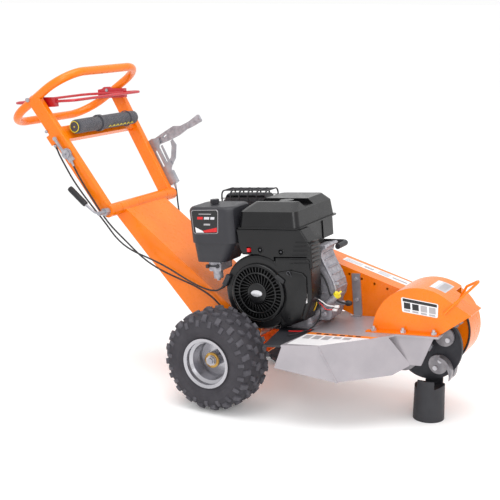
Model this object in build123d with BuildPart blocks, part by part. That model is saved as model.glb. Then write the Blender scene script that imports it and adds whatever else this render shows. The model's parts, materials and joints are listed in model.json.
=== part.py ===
from build123d import *
import os
from math import cos, radians, sin, tan, degrees, acos, atan2, hypot

os.makedirs("parts", exist_ok=True)

# A walk-behind stump grinder.  Millimetres.  +X runs forward to the cutter, +Y to the
# machine's left, +Z up.  Everything but the wheels and the parking stand is drawn level,
# with the axle above x = 0, and is then pitched nose-up about the axle.
axle_x = 50.4
axle_height = 203.0
pitch = 5.0

# Wheels
tyre_radius = 203.0
tyre_width = 194.0
wheel_y = 314.0
rim_radius = 92.0
axle_radius = 12.5
running_gap = 0.05

# Deck, tunnel and skirt
deck_top = 295.0
deck_thickness = 8.0
deck_bottom = deck_top - deck_thickness
sheet = 4.0
tunnel_rear = 600.0
tunnel_near = -128.0
tunnel_far = 90.0
wing_rear = (261.0, -388.0)
wing_corner = (471.0, -349.0)
wing_front = (674.0, -160.0)

# Console and handle
console_half = 150.0
pivot = (-522.0, 775.0)
tube_radius = 27.0
clamp_bolt_radius = 9.0
rail_top = (-801.0, 1235.0)
rail_foot = (-542.0, 783.0)
rail_depth = 60.0
rail_thickness = 30.0
rail_wall = 3.0
rail_past = 22.0
rail_foot_y = 243.0
rail_top_y = 295.0
loop_centre = (-815.0, 1255.0)
loop_tube = 18.0
loop_half_width = 280.0
loop_half_length = 199.0
loop_corner = 130.0
loop_pitch = 30.0
bail_rod = 6.0
bail_half_width = 246.0
bail_rear = -963.0
bail_front = -637.0
bail_level = 1240.0
bail_hinge = (-835.0, 1254.0)
bail_bolt = 5.0

# Engine
crank = (152.0, 450.0)
crank_radius = 12.7
blower_radius = 154.0
blower_face = -206.0
engine_near = -118.0

# Cutter and drive
cutter = (779.0, 228.0)
cutter_y = -20.0
disc_radius = 135.0
disc_thickness = 16.0
shaft_radius = 15.0
tooth_stations = 4
first_station = -60.0
guard_near = 98.0
guard_far = 232.0
guard_rear_radius = 126.0
guard_rear_round = 98.0
guard_front = (747.0, 262.0)
guard_front_radius = 160.0
drive_pulley_radius = 44.0
driven_pulley_radius = 62.0
groove_depth = 14.0
groove_pitch = 22.0
groove_width = 14.0
belt_width = 12.0
belt_height = 10.0
pulley_near = 128.0
pulley_width = 72.0
hood_near = -105.0
hood_far = 94.0
hood_centre = (775.0, 282.0)
hood_radius = 190.0
hood_nose = (980.0, 375.0)
stand_x = 785.0
stand_radius = 61.0
stand_height = 165.0

pitch_axis = Axis((0, 0, axle_height), (0, 1, 0))


def side(y):
    """The side-view plane at this y: X to the right, Z up, normal towards -Y."""
    return Plane.XZ.offset(-y)


def finish(piece, name, pitched=True):
    """Stands a finished piece on the machine, labels it and writes it."""
    placed = piece.part
    if pitched:
        placed = placed.rotate(pitch_axis, -pitch)
    placed = placed.translate((axle_x, 0, 0))
    placed.label = name
    export_step(placed, f"parts/{name}.step")


def block(low, high, mode=Mode.ADD):
    """A box between two corners."""
    middle = [(a + b) / 2 for a, b in zip(low, high)]
    size = [b - a for a, b in zip(low, high)]
    with Locations(tuple(middle)):
        Box(*size, mode=mode)


def bar_y(x, z, radius, y0, y1, mode=Mode.ADD):
    """A round bar along Y."""
    with Locations((x, (y0 + y1) / 2, z)):
        Cylinder(radius, y1 - y0, rotation=(90, 0, 0), mode=mode)


def slab(points, y0, y1, mode=Mode.ADD):
    """A side-view polygon made solid from y0 to y1."""
    with BuildSketch(side(y1)) as outline:
        with BuildLine() as edge:
            Polyline(*points, close=True)
        make_face(edge.edges())
    extrude(outline.sketch, amount=y1 - y0, mode=mode)


def tube(path, radius, mode=Mode.ADD):
    """A round rod along a wire."""
    with BuildSketch(Plane(origin=path @ 0, z_dir=path % 0)) as section:
        Circle(radius)
    sweep(section.sketch, path=path, mode=mode)


def arc_radii(points, share=0.45):
    """The arc at each inner point of a cord, as large as its two runs allow."""
    radii = []
    for before, here, after in zip(points, points[1:], points[2:]):
        run_in = Vector(*here) - Vector(*before)
        run_out = Vector(*after) - Vector(*here)
        turn = radians(run_in.get_angle(run_out))
        radii.append(share * min(run_in.length, run_out.length) / tan(turn / 2))
    return radii


def cord(name, points, radius):
    """A flexible cable along straight runs joined by tangent arcs."""
    radii = arc_radii(points)
    with BuildPart() as piece:
        with BuildLine() as route:
            FilletPolyline(*points, radius=radii)
        tube(route.wire(), radius)
    length = route.wire().length
    solid = piece.part.volume
    print(name, "length", round(length), "radii", [round(r) for r in radii],
          "volume ratio", round(solid / (length * 3.14159265 * radius**2), 3))
    finish(piece, name)


# ---------------------------------------------------------------- wheels

tyre_profile = [(92, 83), (103, 84), (114, 91), (146, 97), (174, 92), (191, 76), (200, 45), (203, 0)]
tyre_inner = [(92, 75), (103, 76), (116, 83), (146, 88), (172, 82), (183, 68), (190, 42), (193, 0)]


def mirrored_profile(points):
    """A half profile, from bead to crown, completed to the other bead."""
    return points + [(r, -w) for r, w in reversed(points[:-1])]


for wheel, flip in (("right", -1), ("left", 1)):
    centre_y = flip * wheel_y
    hub_plane = Plane(origin=(0, centre_y, axle_height), x_dir=(1, 0, 0), z_dir=(0, 0, 1))

    with BuildPart() as tyre:
        with BuildSketch(hub_plane) as section:
            with BuildLine():
                outer = mirrored_profile(tyre_profile)
                inner = mirrored_profile(tyre_inner)
                Polyline(*outer, *reversed(inner), close=True)
            make_face()
        revolve(axis=Axis((0, centre_y, axle_height), (0, 1, 0)))
    finish(tyre, f"tyre_{wheel}", pitched=False)

    # The rim is deep-dished: its disc sits well inboard of the outer flange.
    with BuildPart() as rim:
        rim_profile = [
            (101, 85.5), (91.8, 85), (91.8, 66), (80, 58), (80, 8), (74, -2), (74, -14),
            (30, -14), (30, -10), (70, -10), (70, 0), (76, 10), (76, 60), (88, 68),
            (88, 87), (101, 90),
        ]
        with BuildSketch(hub_plane) as section:
            with BuildLine():
                Polyline(*[(r, flip * w) for r, w in rim_profile], close=True)
            make_face()
        revolve(axis=Axis((0, centre_y, axle_height), (0, 1, 0)))
        inboard_profile = [
            (101, -85.5), (91.8, -85), (91.8, -66), (80, -58), (80, -14), (76, -14),
            (76, -60), (88, -68), (88, -87), (101, -90),
        ]
        with BuildSketch(hub_plane) as section:
            with BuildLine():
                Polyline(*[(r, flip * w) for r, w in inboard_profile], close=True)
            make_face()
        revolve(axis=Axis((0, centre_y, axle_height), (0, 1, 0)))
        with BuildSketch(hub_plane) as section:
            with BuildLine():
                bridge = [(73, -14), (81, -14), (81, 9), (73, 0)]
                Polyline(*[(r, flip * w) for r, w in bridge], close=True)
            make_face()
        revolve(axis=Axis((0, centre_y, axle_height), (0, 1, 0)))
        # Hub barrel and its bolted collar
        bar_y(0, axle_height, 30.5, centre_y - 40, centre_y + 40)
        bar_y(0, axle_height, 40, centre_y + flip * -10 - 3, centre_y + flip * -10 + 9)
        bar_y(0, axle_height, axle_radius + running_gap, centre_y - 50, centre_y + 50,
              mode=Mode.SUBTRACT)
        # Valve stem
        bar_y(33, axle_height + 50, 4.5, centre_y + flip * 14 - 24, centre_y + flip * 14 + 24)
        bar_y(33, axle_height + 50, 5.5, centre_y + flip * 36 - 5, centre_y + flip * 36 + 5)
    finish(rim, f"wheel_rim_{wheel}", pitched=False)

with BuildPart() as axle:
    bar_y(0, axle_height, axle_radius, -372, 372)
    for end in (-1, 1):
        bar_y(0, axle_height, 24, end * 268 - 5, end * 268 + 5)
finish(axle, "axle", pitched=False)

# ---------------------------------------------------------------- frame

with BuildPart() as deck_plate:
    deck_outline = [
        (118, -145), (215, -150), wing_rear, wing_corner, wing_front, (690, -135),
        (862, -135), (862, -80), (tunnel_rear, -80), (tunnel_rear, 42), (862, 42),
        (862, 90), (400, 90), (400, 145), (118, 145),
    ]
    with BuildSketch(Plane.XY.offset(deck_bottom)):
        with BuildLine():
            Polyline(*deck_outline, close=True)
        make_face()
    extrude(amount=deck_thickness)
finish(deck_plate, "deck_plate")

with BuildPart() as cutter_tunnel:
    slab([(tunnel_rear - 6, deck_bottom), (840, deck_bottom), (785, 176), (tunnel_rear - 6, 176)],
         tunnel_near, tunnel_near + 6)
    slab([(tunnel_rear - 6, deck_bottom), (862, deck_bottom), (830, 178), (tunnel_rear - 6, 176)],
         tunnel_far - 6, tunnel_far)
    block((tunnel_rear - 6, tunnel_near, 176), (tunnel_rear, tunnel_far, deck_bottom))
    bar_y(cutter[0], cutter[1], 24, tunnel_far - 20, tunnel_far + 20, mode=Mode.SUBTRACT)
finish(cutter_tunnel, "cutter_tunnel")


def skirt_panel(start, end, lower, outline):
    """A leaning sheet below one deck edge; the outline runs (along, down) from its start."""
    along = Vector(end[0], end[1], deck_bottom) - Vector(start[0], start[1], deck_bottom)
    down = Vector(*lower) - Vector(start[0], start[1], deck_bottom)
    face = Plane(origin=(start[0], start[1], deck_bottom), x_dir=along, z_dir=down.cross(along))
    with BuildSketch(face) as panel:
        with BuildLine():
            Polyline(*[(u, -v) for u, v in outline], close=True)
        make_face()
    extrude(panel.sketch, amount=-sheet)


skirt_crease = (528.0, -330.0, 150.0)
with BuildPart() as side_skirt:
    skirt_panel(wing_rear, wing_corner, skirt_crease, [(68, 0), (214, 0), (273, 138), (31, 84)])
    skirt_panel(wing_corner, wing_front, skirt_crease,
                [(0, 0), (277, 0), (353, 114), (273, 142), (57, 138)])
    with BuildLine() as crease:
        Line((wing_corner[0], wing_corner[1], deck_bottom), skirt_crease)
    tube(crease.wire(), 3.5)
    add(deck_plate.part, mode=Mode.SUBTRACT)
    block((tunnel_rear - 6, tunnel_near, 100), (900, tunnel_far, deck_bottom), mode=Mode.SUBTRACT)
finish(side_skirt, "side_skirt")

console_profile = [
    (-552, 748), (-530, 792), (-503, 775), (0, 357), (84, deck_bottom), (118, deck_bottom),
    (95, 160), (-62, 160), (-222, 347),
]
with BuildPart() as console:
    slab(console_profile, -console_half, -console_half + sheet)
    slab(console_profile, console_half - sheet, console_half)
    slab([(-503, 775), (0, 357), (84, deck_bottom), (79, deck_bottom), (-2, 353), (-505, 771)],
         -console_half, console_half)
    slab([(-62, 160), (95, 160), (95.5, 164), (-62, 164)], -console_half, console_half)
    bar_y(pivot[0], pivot[1], tube_radius, -170, 170)
    bar_y(pivot[0], pivot[1], clamp_bolt_radius + running_gap, -180, 180, mode=Mode.SUBTRACT)
    bar_y(0, axle_height, axle_radius, -200, 200, mode=Mode.SUBTRACT)
finish(console, "console")

saddle_radius = 168.0
saddle_centre = (
    cutter[0] * cos(radians(pitch)) - (cutter[1] - axle_height) * sin(radians(pitch)),
    axle_height + cutter[0] * sin(radians(pitch)) + (cutter[1] - axle_height) * cos(radians(pitch)),
)
with BuildPart() as parking_stand:
    with BuildSketch(Plane.XY):
        with Locations((stand_x, cutter_y)):
            Circle(stand_radius)
    with BuildSketch(Plane.XY.offset(stand_height)):
        with Locations((stand_x, cutter_y)):
            Circle(stand_radius - 3)
    loft()
    # A saddle clears the sweep of the teeth.
    bar_y(saddle_centre[0], saddle_centre[1], saddle_radius, cutter_y - 47, cutter_y + 47,
          mode=Mode.SUBTRACT)
    # The flat bar that carries it from the tunnel's far wall
    block((stand_x - 15, 90, 60), (stand_x + 15, 96, 280))
    block((stand_x - 15, 30, 60), (stand_x + 15, 96, 100))
finish(parking_stand, "parking_stand", pitched=False)

# ---------------------------------------------------------------- upper handle

rail_run = Vector(rail_top[0] - rail_foot[0], rail_top_y - rail_foot_y, rail_top[1] - rail_foot[1])


def along_rail(share, flip=-1, out=0.0, forward=0.0):
    """A point on a rail: share from foot to top, out from its outer face, forward of its middle."""
    x = rail_foot[0] + share * (rail_top[0] - rail_foot[0])
    z = rail_foot[1] + share * (rail_top[1] - rail_foot[1])
    y = rail_foot_y + share * (rail_top_y - rail_foot_y) + out
    rake = atan2(rail_top[1] - rail_foot[1], rail_top[0] - rail_foot[0])
    return (x + forward * sin(rake), flip * y, z - forward * cos(rake))


def rail_plane(share, flip=-1, out=0.0, forward=0.0):
    """A plane on a rail's outer face: its X runs up the rail, its normal points outwards."""
    up_rail = Vector(rail_run.X, flip * rail_run.Y, rail_run.Z)
    forwards = Vector(*along_rail(0, flip, 0, 10)) - Vector(*along_rail(0, flip, 0, 0))
    normal = up_rail.cross(forwards)
    if normal.Y * flip < 0:
        normal = normal * -1
    return Plane(origin=along_rail(share, flip, out, forward), x_dir=up_rail, z_dir=normal)


for rail, flip in (("right", -1), ("left", 1)):
    with BuildPart() as handle_rail:
        with BuildSketch(rail_plane(0, flip)) as section:
            with Locations(((rail_run.length + rail_past) / 2 - 6, 0)):
                Rectangle(rail_run.length + rail_past + 12, rail_depth)
        extrude(section.sketch, amount=-rail_thickness)
        fillet(handle_rail.edges().filter_by(lambda e: e.length > 400), 5)
        with BuildSketch(rail_plane(0, flip).offset(-rail_wall)) as cavity:
            with Locations(((rail_run.length + rail_past) / 2 - 6, 0)):
                Rectangle(rail_run.length + rail_past, rail_depth - 2 * rail_wall)
        extrude(cavity.sketch, amount=2 * rail_wall - rail_thickness, mode=Mode.SUBTRACT)
        bar_y(pivot[0], pivot[1], tube_radius, *sorted((flip * 172, flip * 243)))
        bar_y(pivot[0], pivot[1], clamp_bolt_radius + running_gap, -300, 300, mode=Mode.SUBTRACT)
        bar_y(bail_hinge[0], bail_hinge[1], bail_bolt + running_gap, -320, 320, mode=Mode.SUBTRACT)
        if rail == "right":
            # The bail's cable leaves a small box behind this rail.
            with BuildSketch(rail_plane(0.70, -1, -4, -37)) as box_shape:
                Rectangle(44, 26)
            extrude(box_shape.sketch, amount=-22)
    finish(handle_rail, f"handle_rail_{rail}")

plate_share = 0.70
plate_inner = rail_foot_y + plate_share * (rail_top_y - rail_foot_y) - rail_thickness - 3
plate_middle = along_rail(plate_share)
with BuildPart() as cross_plate:
    rake = degrees(atan2(rail_top[1] - rail_foot[1], rail_top[0] - rail_foot[0]))
    plate_plane = Plane(origin=(plate_middle[0], plate_inner, plate_middle[2]), z_dir=(0, -1, 0),
                        x_dir=(cos(radians(rake)), 0, sin(radians(rake))))
    with BuildSketch(plate_plane) as channel:
        Rectangle(62, 30)
        with Locations((0, 4)):
            Rectangle(54, 30, mode=Mode.SUBTRACT)
    extrude(channel.sketch, amount=2 * plate_inner)
    for rail, flip in (("right", -1), ("left", 1)):
        with BuildSketch(rail_plane(0, flip).offset(-rail_thickness)) as beyond:
            with Locations((rail_run.length / 2, 0)):
                Rectangle(rail_run.length + 100, 200)
        extrude(beyond.sketch, amount=60, mode=Mode.SUBTRACT)
finish(cross_plate, "cross_plate")

pad_middle = along_rail(plate_share, -1, 0, 58)
with BuildPart() as crossbar_pad:
    bar_y(pad_middle[0], pad_middle[2], 35, -215, 215)
    fillet(crossbar_pad.edges(), 6)
finish(crossbar_pad, "crossbar_pad")

loop_plane = Plane(origin=(loop_centre[0], 0, loop_centre[1]), x_dir=(0, 1, 0),
                   z_dir=(-sin(radians(loop_pitch)), 0, cos(radians(loop_pitch))))
with BuildPart() as handle_loop:
    with BuildSketch(loop_plane, mode=Mode.PRIVATE) as loop_shape:
        RectangleRounded(2 * loop_half_width, 2 * loop_half_length, loop_corner)
    tube(loop_shape.sketch.face().outer_wire(), loop_tube)
    tube(loop_shape.sketch.face().outer_wire(), loop_tube - rail_wall, mode=Mode.SUBTRACT)
    for rail, flip in (("right", -1), ("left", 1)):
        with BuildSketch(rail_plane(0, flip)) as section:
            with Locations(((rail_run.length + rail_past) / 2 - 6, 0)):
                Rectangle(rail_run.length + rail_past + 12, rail_depth)
        extrude(section.sketch, amount=-rail_thickness, mode=Mode.SUBTRACT)
    bar_y(bail_hinge[0], bail_hinge[1], bail_bolt + running_gap, -320, 320, mode=Mode.SUBTRACT)
finish(handle_loop, "handle_loop")

with BuildPart() as bail:
    with BuildSketch(Plane.XY.offset(bail_level), mode=Mode.PRIVATE) as bail_shape:
        with Locations(((bail_rear + bail_front) / 2, 0)):
            RectangleRounded(bail_front - bail_rear, 2 * bail_half_width, 36)
    tube(bail_shape.sketch.face().outer_wire(), bail_rod)
    for flip in (-1, 1):
        # A folded bracket carries the rod on its hinge bolt.
        slab([(-888, 1218), (-728, 1218), (-728, 1258), (-806, 1261), (-818, 1269), (-852, 1269),
              (-864, 1261), (-888, 1258)], *sorted((flip * 251, flip * 256)))
        block((-888, min(flip * 234, flip * 256), 1218), (-728, max(flip * 234, flip * 256), 1222))
        block((-732, min(flip * 234, flip * 256), 1218), (-728, max(flip * 234, flip * 256), 1256))
    bar_y(bail_hinge[0], bail_hinge[1], bail_bolt + running_gap, -400, 400, mode=Mode.SUBTRACT)
finish(bail, "bail")

# Brake lever on the left-hand rail: its plane has X up the rail and Y forwards.
bracket_plane = rail_plane(0.33, 1, 1)
lever_pivot = (54.0, 64.0)
trigger_pivot = (-72.0, 74.0)

with BuildPart() as handle_pins:
    for pin_place, pin_radius in ((lever_pivot, 5), (trigger_pivot, 4)):
        with BuildSketch(bracket_plane.offset(5)) as pin_shape:
            with Locations(pin_place):
                Circle(pin_radius)
        extrude(pin_shape.sketch, amount=22)
    for flip in (-1, 1):
        bar_y(bail_hinge[0], bail_hinge[1], bail_bolt, *sorted((flip * 248, flip * 301)))
        bar_y(bail_hinge[0], bail_hinge[1], 7.5, *sorted((flip * 246, flip * 250.5)))
        bar_y(bail_hinge[0], bail_hinge[1], 9, *sorted((flip * 299, flip * 305)))
finish(handle_pins, "handle_pins")

with BuildPart() as throttle_base:
    with BuildSketch(rail_plane(0.52).offset(0.3)) as base_shape:
        with Locations((6, 0)):
            Circle(23)
        with Locations((-13, -3)):
            Rectangle(40, 30)
    extrude(base_shape.sketch, amount=10)
    with BuildSketch(rail_plane(0.52).offset(0.3)) as spigot:
        with Locations((6, 0)):
            Circle(4)
    extrude(spigot.sketch, amount=22)
finish(throttle_base, "throttle_base")

throttle_plane = rail_plane(0.52).offset(11)
throttle_hinge = throttle_plane.from_local_coords((6, 0, 0))
with BuildPart() as throttle_lever:
    with BuildSketch(throttle_plane) as lever_shape:
        with Locations((6, 0)):
            Circle(18)
        with Locations((44, 4)):
            Rectangle(76, 11)
        with Locations((84, 4)):
            Circle(9)
        with Locations((6, 0)):
            Circle(4.05, mode=Mode.SUBTRACT)
    extrude(lever_shape.sketch, amount=6)
finish(throttle_lever, "throttle_lever")

with BuildPart() as lever_bracket:
    with BuildSketch(bracket_plane) as bracket_shape:
        with BuildLine():
            Polyline((76, -20), (76, 46), (62, 80), (44, 80), (22, 64), (-56, 64), (-62, 84), (-84, 84),
                     (-96, 70), (-160, 66), (-150, -20), close=True)
        make_face()
        fillet(bracket_shape.vertices(), 5)
        with Locations((-26, 41)):
            SlotOverall(84, 9, mode=Mode.SUBTRACT)
    extrude(bracket_shape.sketch, amount=5)
    with BuildSketch(bracket_plane) as flange_shape:
        with Locations((-128, 64)):
            Rectangle(56, 4)
        with Locations((-157, 46)):
            Rectangle(4, 38)
    extrude(flange_shape.sketch, amount=24)
    with BuildSketch(bracket_plane) as mounting_bolt:
        with Locations((-74, 24), (40, 10)):
            RegularPolygon(9, 6)
    extrude(mounting_bolt.sketch, amount=11)
finish(lever_bracket, "lever_bracket")

with BuildPart() as brake_lever:
    with BuildSketch(bracket_plane.offset(12)) as lever_shape:
        with BuildLine():
            Polyline((72, 62), (70, 120), (66, 176), (46, 210), (38, 262), (40, 320),
                     (4, 320), (9, 268), (16, 228), (15, 182), (22, 130), (37, 62), close=True)
        make_face()
        fillet(lever_shape.vertices(), 6)
        with Locations(lever_pivot):
            Circle(18)
        with Locations((54, 110)):
            SlotOverall(26, 9, rotation=90, mode=Mode.SUBTRACT)
        with Locations(lever_pivot):
            Circle(5.05, mode=Mode.SUBTRACT)
    extrude(lever_shape.sketch, amount=12)
finish(brake_lever, "brake_lever")

with BuildPart() as brake_trigger:
    with BuildSketch(bracket_plane.offset(6)) as trigger_shape:
        with Locations(trigger_pivot):
            Circle(10)
        with BuildLine():
            Polyline((14, 130), (16, 144), (-15, 149), (-64, 114), (-82, 80), (-72, 66), (24, 71),
                     (24, 80), (-54, 79), (-48, 94), (-8, 124), close=True)
        make_face()
        with Locations(trigger_pivot):
            Circle(4.05, mode=Mode.SUBTRACT)
    extrude(trigger_shape.sketch, amount=5)
finish(brake_trigger, "brake_trigger")

arm_y = -297.0
# Clamp lever that locks the handle's height, on the right-hand end of the pivot tube.
with BuildPart() as clamp_lever:
    bar_y(pivot[0], pivot[1], clamp_bolt_radius, -306, 262)
    with BuildSketch(side(-244)) as nut:
        with Locations(pivot):
            RegularPolygon(17, 6)
    extrude(nut.sketch, amount=26)
    with BuildSketch(side(262)) as nut:
        with Locations(pivot):
            RegularPolygon(17, 6)
    extrude(nut.sketch, amount=16)
    with BuildLine() as arm:
        FilletPolyline((pivot[0], arm_y, pivot[1]), (pivot[0] - 26, arm_y, pivot[1] + 4),
                       (pivot[0] - 74, arm_y, pivot[1] + 40), radius=24)
    tube(arm.wire(), 5.5)
finish(clamp_lever, "clamp_lever")

grip_direction = Vector(-48, 0, 44).normalized()
grip_start = Vector(pivot[0] - 68, arm_y, pivot[1] + 36)
with BuildPart() as clamp_grip:
    with BuildSketch(Plane(origin=grip_start, z_dir=grip_direction)) as grip_section:
        Circle(12)
    extrude(grip_section.sketch, amount=104)
    fillet(clamp_grip.edges(), 4)
    add(clamp_lever.part, mode=Mode.SUBTRACT)
finish(clamp_grip, "clamp_grip")

# ---------------------------------------------------------------- engine

filler_start = Vector(326, -98, 330)
filler_end = Vector(440, -104, 426)
filler_axis = (filler_end - filler_start).normalized()
with BuildPart() as crankcase:
    block((84, engine_near, deck_top), (330, 60, 526))
    fillet(crankcase.edges().filter_by(Axis.Z), 18)
    block((76, engine_near, deck_top), (344, 74, deck_top + 12))
    block((96, engine_near + 12, deck_top - 1), (318, 48, 512), mode=Mode.SUBTRACT)
    bar_y(crank[0], crank[1], crank_radius + running_gap, -200, 100, mode=Mode.SUBTRACT)
    # Oil filler neck
    with BuildSketch(Plane(origin=filler_start, z_dir=filler_axis)) as neck:
        Circle(13)
    extrude(neck.sketch, amount=(filler_end - filler_start).length)
finish(crankcase, "crankcase")

head_profile = [(330, 316), (379, 322), (420, 350), (438, 420), (438, 474), (402, 606), (330, 606)]
with BuildPart() as cylinder_head:
    slab(head_profile, -84, 36)
    fillet(cylinder_head.edges().filter_by(Axis.Y), 6)
    for fin in range(8):
        level = 396 + fin * 24
        front = 438 - max(0, level + 5 - 474) * 36 / 132
        block((front - 16, -110, level), (480, 50, level + 10), mode=Mode.SUBTRACT)
        block((366, -110, level), (front, -76, level + 10), mode=Mode.SUBTRACT)
    block((348, -54, 300), (382, 24, 560), mode=Mode.SUBTRACT)
    # Spark plug
    with Locations((438, -30, 378)):
        Cylinder(10, 24, rotation=(0, 90, 0))
    with Locations((457, -30, 378)):
        Cylinder(7, 18, rotation=(0, 90, 0))
    with BuildSketch(Plane(origin=filler_start, z_dir=filler_axis)) as neck:
        Circle(14)
    extrude(neck.sketch, amount=(filler_end - filler_start).length + 30, mode=Mode.SUBTRACT)
finish(cylinder_head, "cylinder_head")

blower_outline_right = [(230, 596), (372, 600), (386, 582), (384, 434), (348, 346), (232, 302)]
with BuildPart() as blower_housing:
    with BuildSketch(side(engine_near)) as outer_shape:
        with Locations(crank):
            Circle(blower_radius - 2)
        with BuildLine():
            Polyline(*blower_outline_right, close=True)
        make_face()
    extrude(outer_shape.sketch, amount=engine_near - blower_face)
    fillet(blower_housing.faces().sort_by(Axis.Y)[0].edges(), 14)
    with BuildSketch(side(engine_near)) as inner_shape:
        with Locations(crank):
            Circle(blower_radius - 6)
        with BuildLine():
            Polyline((230, 590), (368, 593), (380, 579), (378, 436), (344, 351), (232, 308), close=True)
        make_face()
    extrude(inner_shape.sketch, amount=engine_near - blower_face - 16, mode=Mode.SUBTRACT)
    bar_y(crank[0], crank[1], 96, blower_face - 5, engine_near, mode=Mode.SUBTRACT)
finish(blower_housing, "blower_housing")

with BuildPart() as flywheel:
    bar_y(crank[0], crank[1], 112, -158, -128)
    bar_y(crank[0], crank[1], 94, -150, -126, mode=Mode.SUBTRACT)
    bar_y(crank[0], crank[1], 26, -158, -128)
    bar_y(crank[0], crank[1], crank_radius, -210, -100, mode=Mode.SUBTRACT)
    for angle in range(0, 360, 30):
        with Locations(Location((crank[0], -168, crank[1]), (0, angle, 0))):
            with Locations((84, 0, 0)):
                Box(44, 20, 4)
finish(flywheel, "flywheel")

with BuildPart() as crankshaft:
    bar_y(crank[0], crank[1], crank_radius, -176, 204)
finish(crankshaft, "crankshaft")

with BuildPart() as recoil_cover:
    bar_y(crank[0], crank[1], 118, -216, blower_face)
    fillet(recoil_cover.edges().sort_by(Axis.Y)[0], 6)
    bar_y(crank[0], crank[1], 94, -212, blower_face, mode=Mode.SUBTRACT)
    for angle in range(0, 360, 12):
        with Locations(Location((crank[0], -214, crank[1]), (0, angle, 0))):
            with Locations((70, 0, 0)):
                Box(44, 12, 4.5, mode=Mode.SUBTRACT)
    bar_y(crank[0], crank[1], 36, -218, -211)
    # Pull grip of the starter rope, parked on the rim
    with Locations((256, -213.5, 510)):
        Box(44, 15, 18, rotation=(0, 35, 0))
finish(recoil_cover, "recoil_cover")

side_cover_profile = [
    (68, 703), (354, 703), (394, 640), (394, 556), (382, 546), (286, 540), (234, 560), (164, 600),
    (88, 600), (76, 636),
]
with BuildPart() as side_cover:
    slab(side_cover_profile, -206, -126.5)
    fillet(side_cover.faces().sort_by(Axis.Y)[0].edges(), 7)
    slab([(78, 697), (348, 697), (386, 638), (386, 560), (378, 554), (288, 546), (236, 566),
          (166, 606), (94, 606), (84, 636)], -198, -125, mode=Mode.SUBTRACT)
    add(blower_housing.part, mode=Mode.SUBTRACT)
    with BuildSketch(side(engine_near)) as under:
        with Locations(crank):
            Circle(blower_radius - 2)
        with BuildLine():
            Polyline(*blower_outline_right, close=True)
        make_face()
    extrude(under.sketch, amount=engine_near - blower_face + 10, mode=Mode.SUBTRACT)
    block((112, -210, 608), (132, -194, 632), mode=Mode.SUBTRACT)
finish(side_cover, "side_cover")

switch_hinge = (122.0, -203.0, 620.0)
with BuildPart() as engine_switch:
    block((116, -212, 612), (128, -196, 628))
    fillet(engine_switch.edges().filter_by(Axis.X), 3)
    with Locations(switch_hinge):
        Cylinder(2.5, 18, rotation=(0, 90, 0))
finish(engine_switch, "engine_switch")

with BuildPart() as fuel_tank:
    block((76, -126, 606), (318, 92, 704))
    fillet(fuel_tank.edges().filter_by(Axis.Z), 26)
    block((196, 60, 620), (322, 152, 704))
    block((84, -118, 612), (310, 84, 705), mode=Mode.SUBTRACT)
    block((204, 60, 626), (314, 144, 705), mode=Mode.SUBTRACT)
    with BuildSketch(Plane.XY.offset(704)) as lip:
        with Locations((206, -25)):
            RectangleRounded(280, 358, 18)
    extrude(lip.sketch, amount=5)
finish(fuel_tank, "fuel_tank")

with BuildPart() as tank_cover:
    with BuildSketch(Plane.XY.offset(709)):
        with Locations((206, -26)):
            RectangleRounded(264, 350, 26)
    with BuildSketch(Plane.XY.offset(770)):
        with Locations((206, -24)):
            RectangleRounded(250, 336, 26)
    loft()
    with BuildSketch(Plane.XY.offset(770)):
        with Locations((206, -24)):
            RectangleRounded(250, 336, 26)
    with BuildSketch(Plane.XY.offset(797)):
        with Locations((206, 6)):
            RectangleRounded(190, 240, 22)
    loft()
    block((104, -96, 776), (338, -20, 830), mode=Mode.SUBTRACT)
    block((94, -180, 700), (318, 126, 762), mode=Mode.SUBTRACT)
finish(tank_cover, "tank_cover")

cap_centre = (226.0, -58.0)
with BuildPart() as fuel_cap:
    with BuildSketch(Plane.XY.offset(776.3)):
        with Locations(cap_centre):
            Circle(30)
            with PolarLocations(30, 10):
                Circle(3.5, mode=Mode.SUBTRACT)
    extrude(amount=20)
    fillet(fuel_cap.faces().sort_by(Axis.Z)[-1].edges(), 2)
finish(fuel_cap, "fuel_cap")

with BuildPart() as air_cleaner_base:
    with BuildSketch(Plane.XY.offset(566)):
        with Locations((-58, -140)):
            RectangleRounded(136, 146, 26)
    with BuildSketch(Plane.XY.offset(646)):
        with Locations((-36, -142)):
            RectangleRounded(196, 164, 38)
    loft()
    block((-108, -198, 584), (0, -84, 647), mode=Mode.SUBTRACT)
    add(side_cover.part, mode=Mode.SUBTRACT)
    block((60, -240, 560), (130, -40, 850), mode=Mode.SUBTRACT)
finish(air_cleaner_base, "air_cleaner_base")

with BuildPart() as air_cleaner_cover:
    with BuildSketch(Plane.XY.offset(646)):
        with Locations((-36, -142)):
            RectangleRounded(206, 172, 40)
    with BuildSketch(Plane.XY.offset(792)):
        with Locations((-38, -141)):
            RectangleRounded(216, 176, 44)
    loft()
    fillet(air_cleaner_cover.faces().sort_by(Axis.Z)[-1].edges(), 20)
    with Locations((-58, -140, 790)):
        Cylinder(14, 30, mode=Mode.SUBTRACT)
    block((-124, -212, 640), (50, -72, 758), mode=Mode.SUBTRACT)
    add(side_cover.part, mode=Mode.SUBTRACT)
    block((64, -240, 600), (130, -40, 850), mode=Mode.SUBTRACT)
finish(air_cleaner_cover, "air_cleaner_cover")

knob_centre = (-58.0, -140.0)
with BuildPart() as air_cleaner_knob:
    with BuildSketch(Plane.XY.offset(778)):
        with Locations(knob_centre):
            Circle(12)
    extrude(amount=16)
    with BuildSketch(Plane.XY.offset(794)):
        with Locations(knob_centre):
            Circle(18)
            with PolarLocations(19, 6):
                Circle(4, mode=Mode.SUBTRACT)
    extrude(amount=17)
finish(air_cleaner_knob, "air_cleaner_knob")

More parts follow.
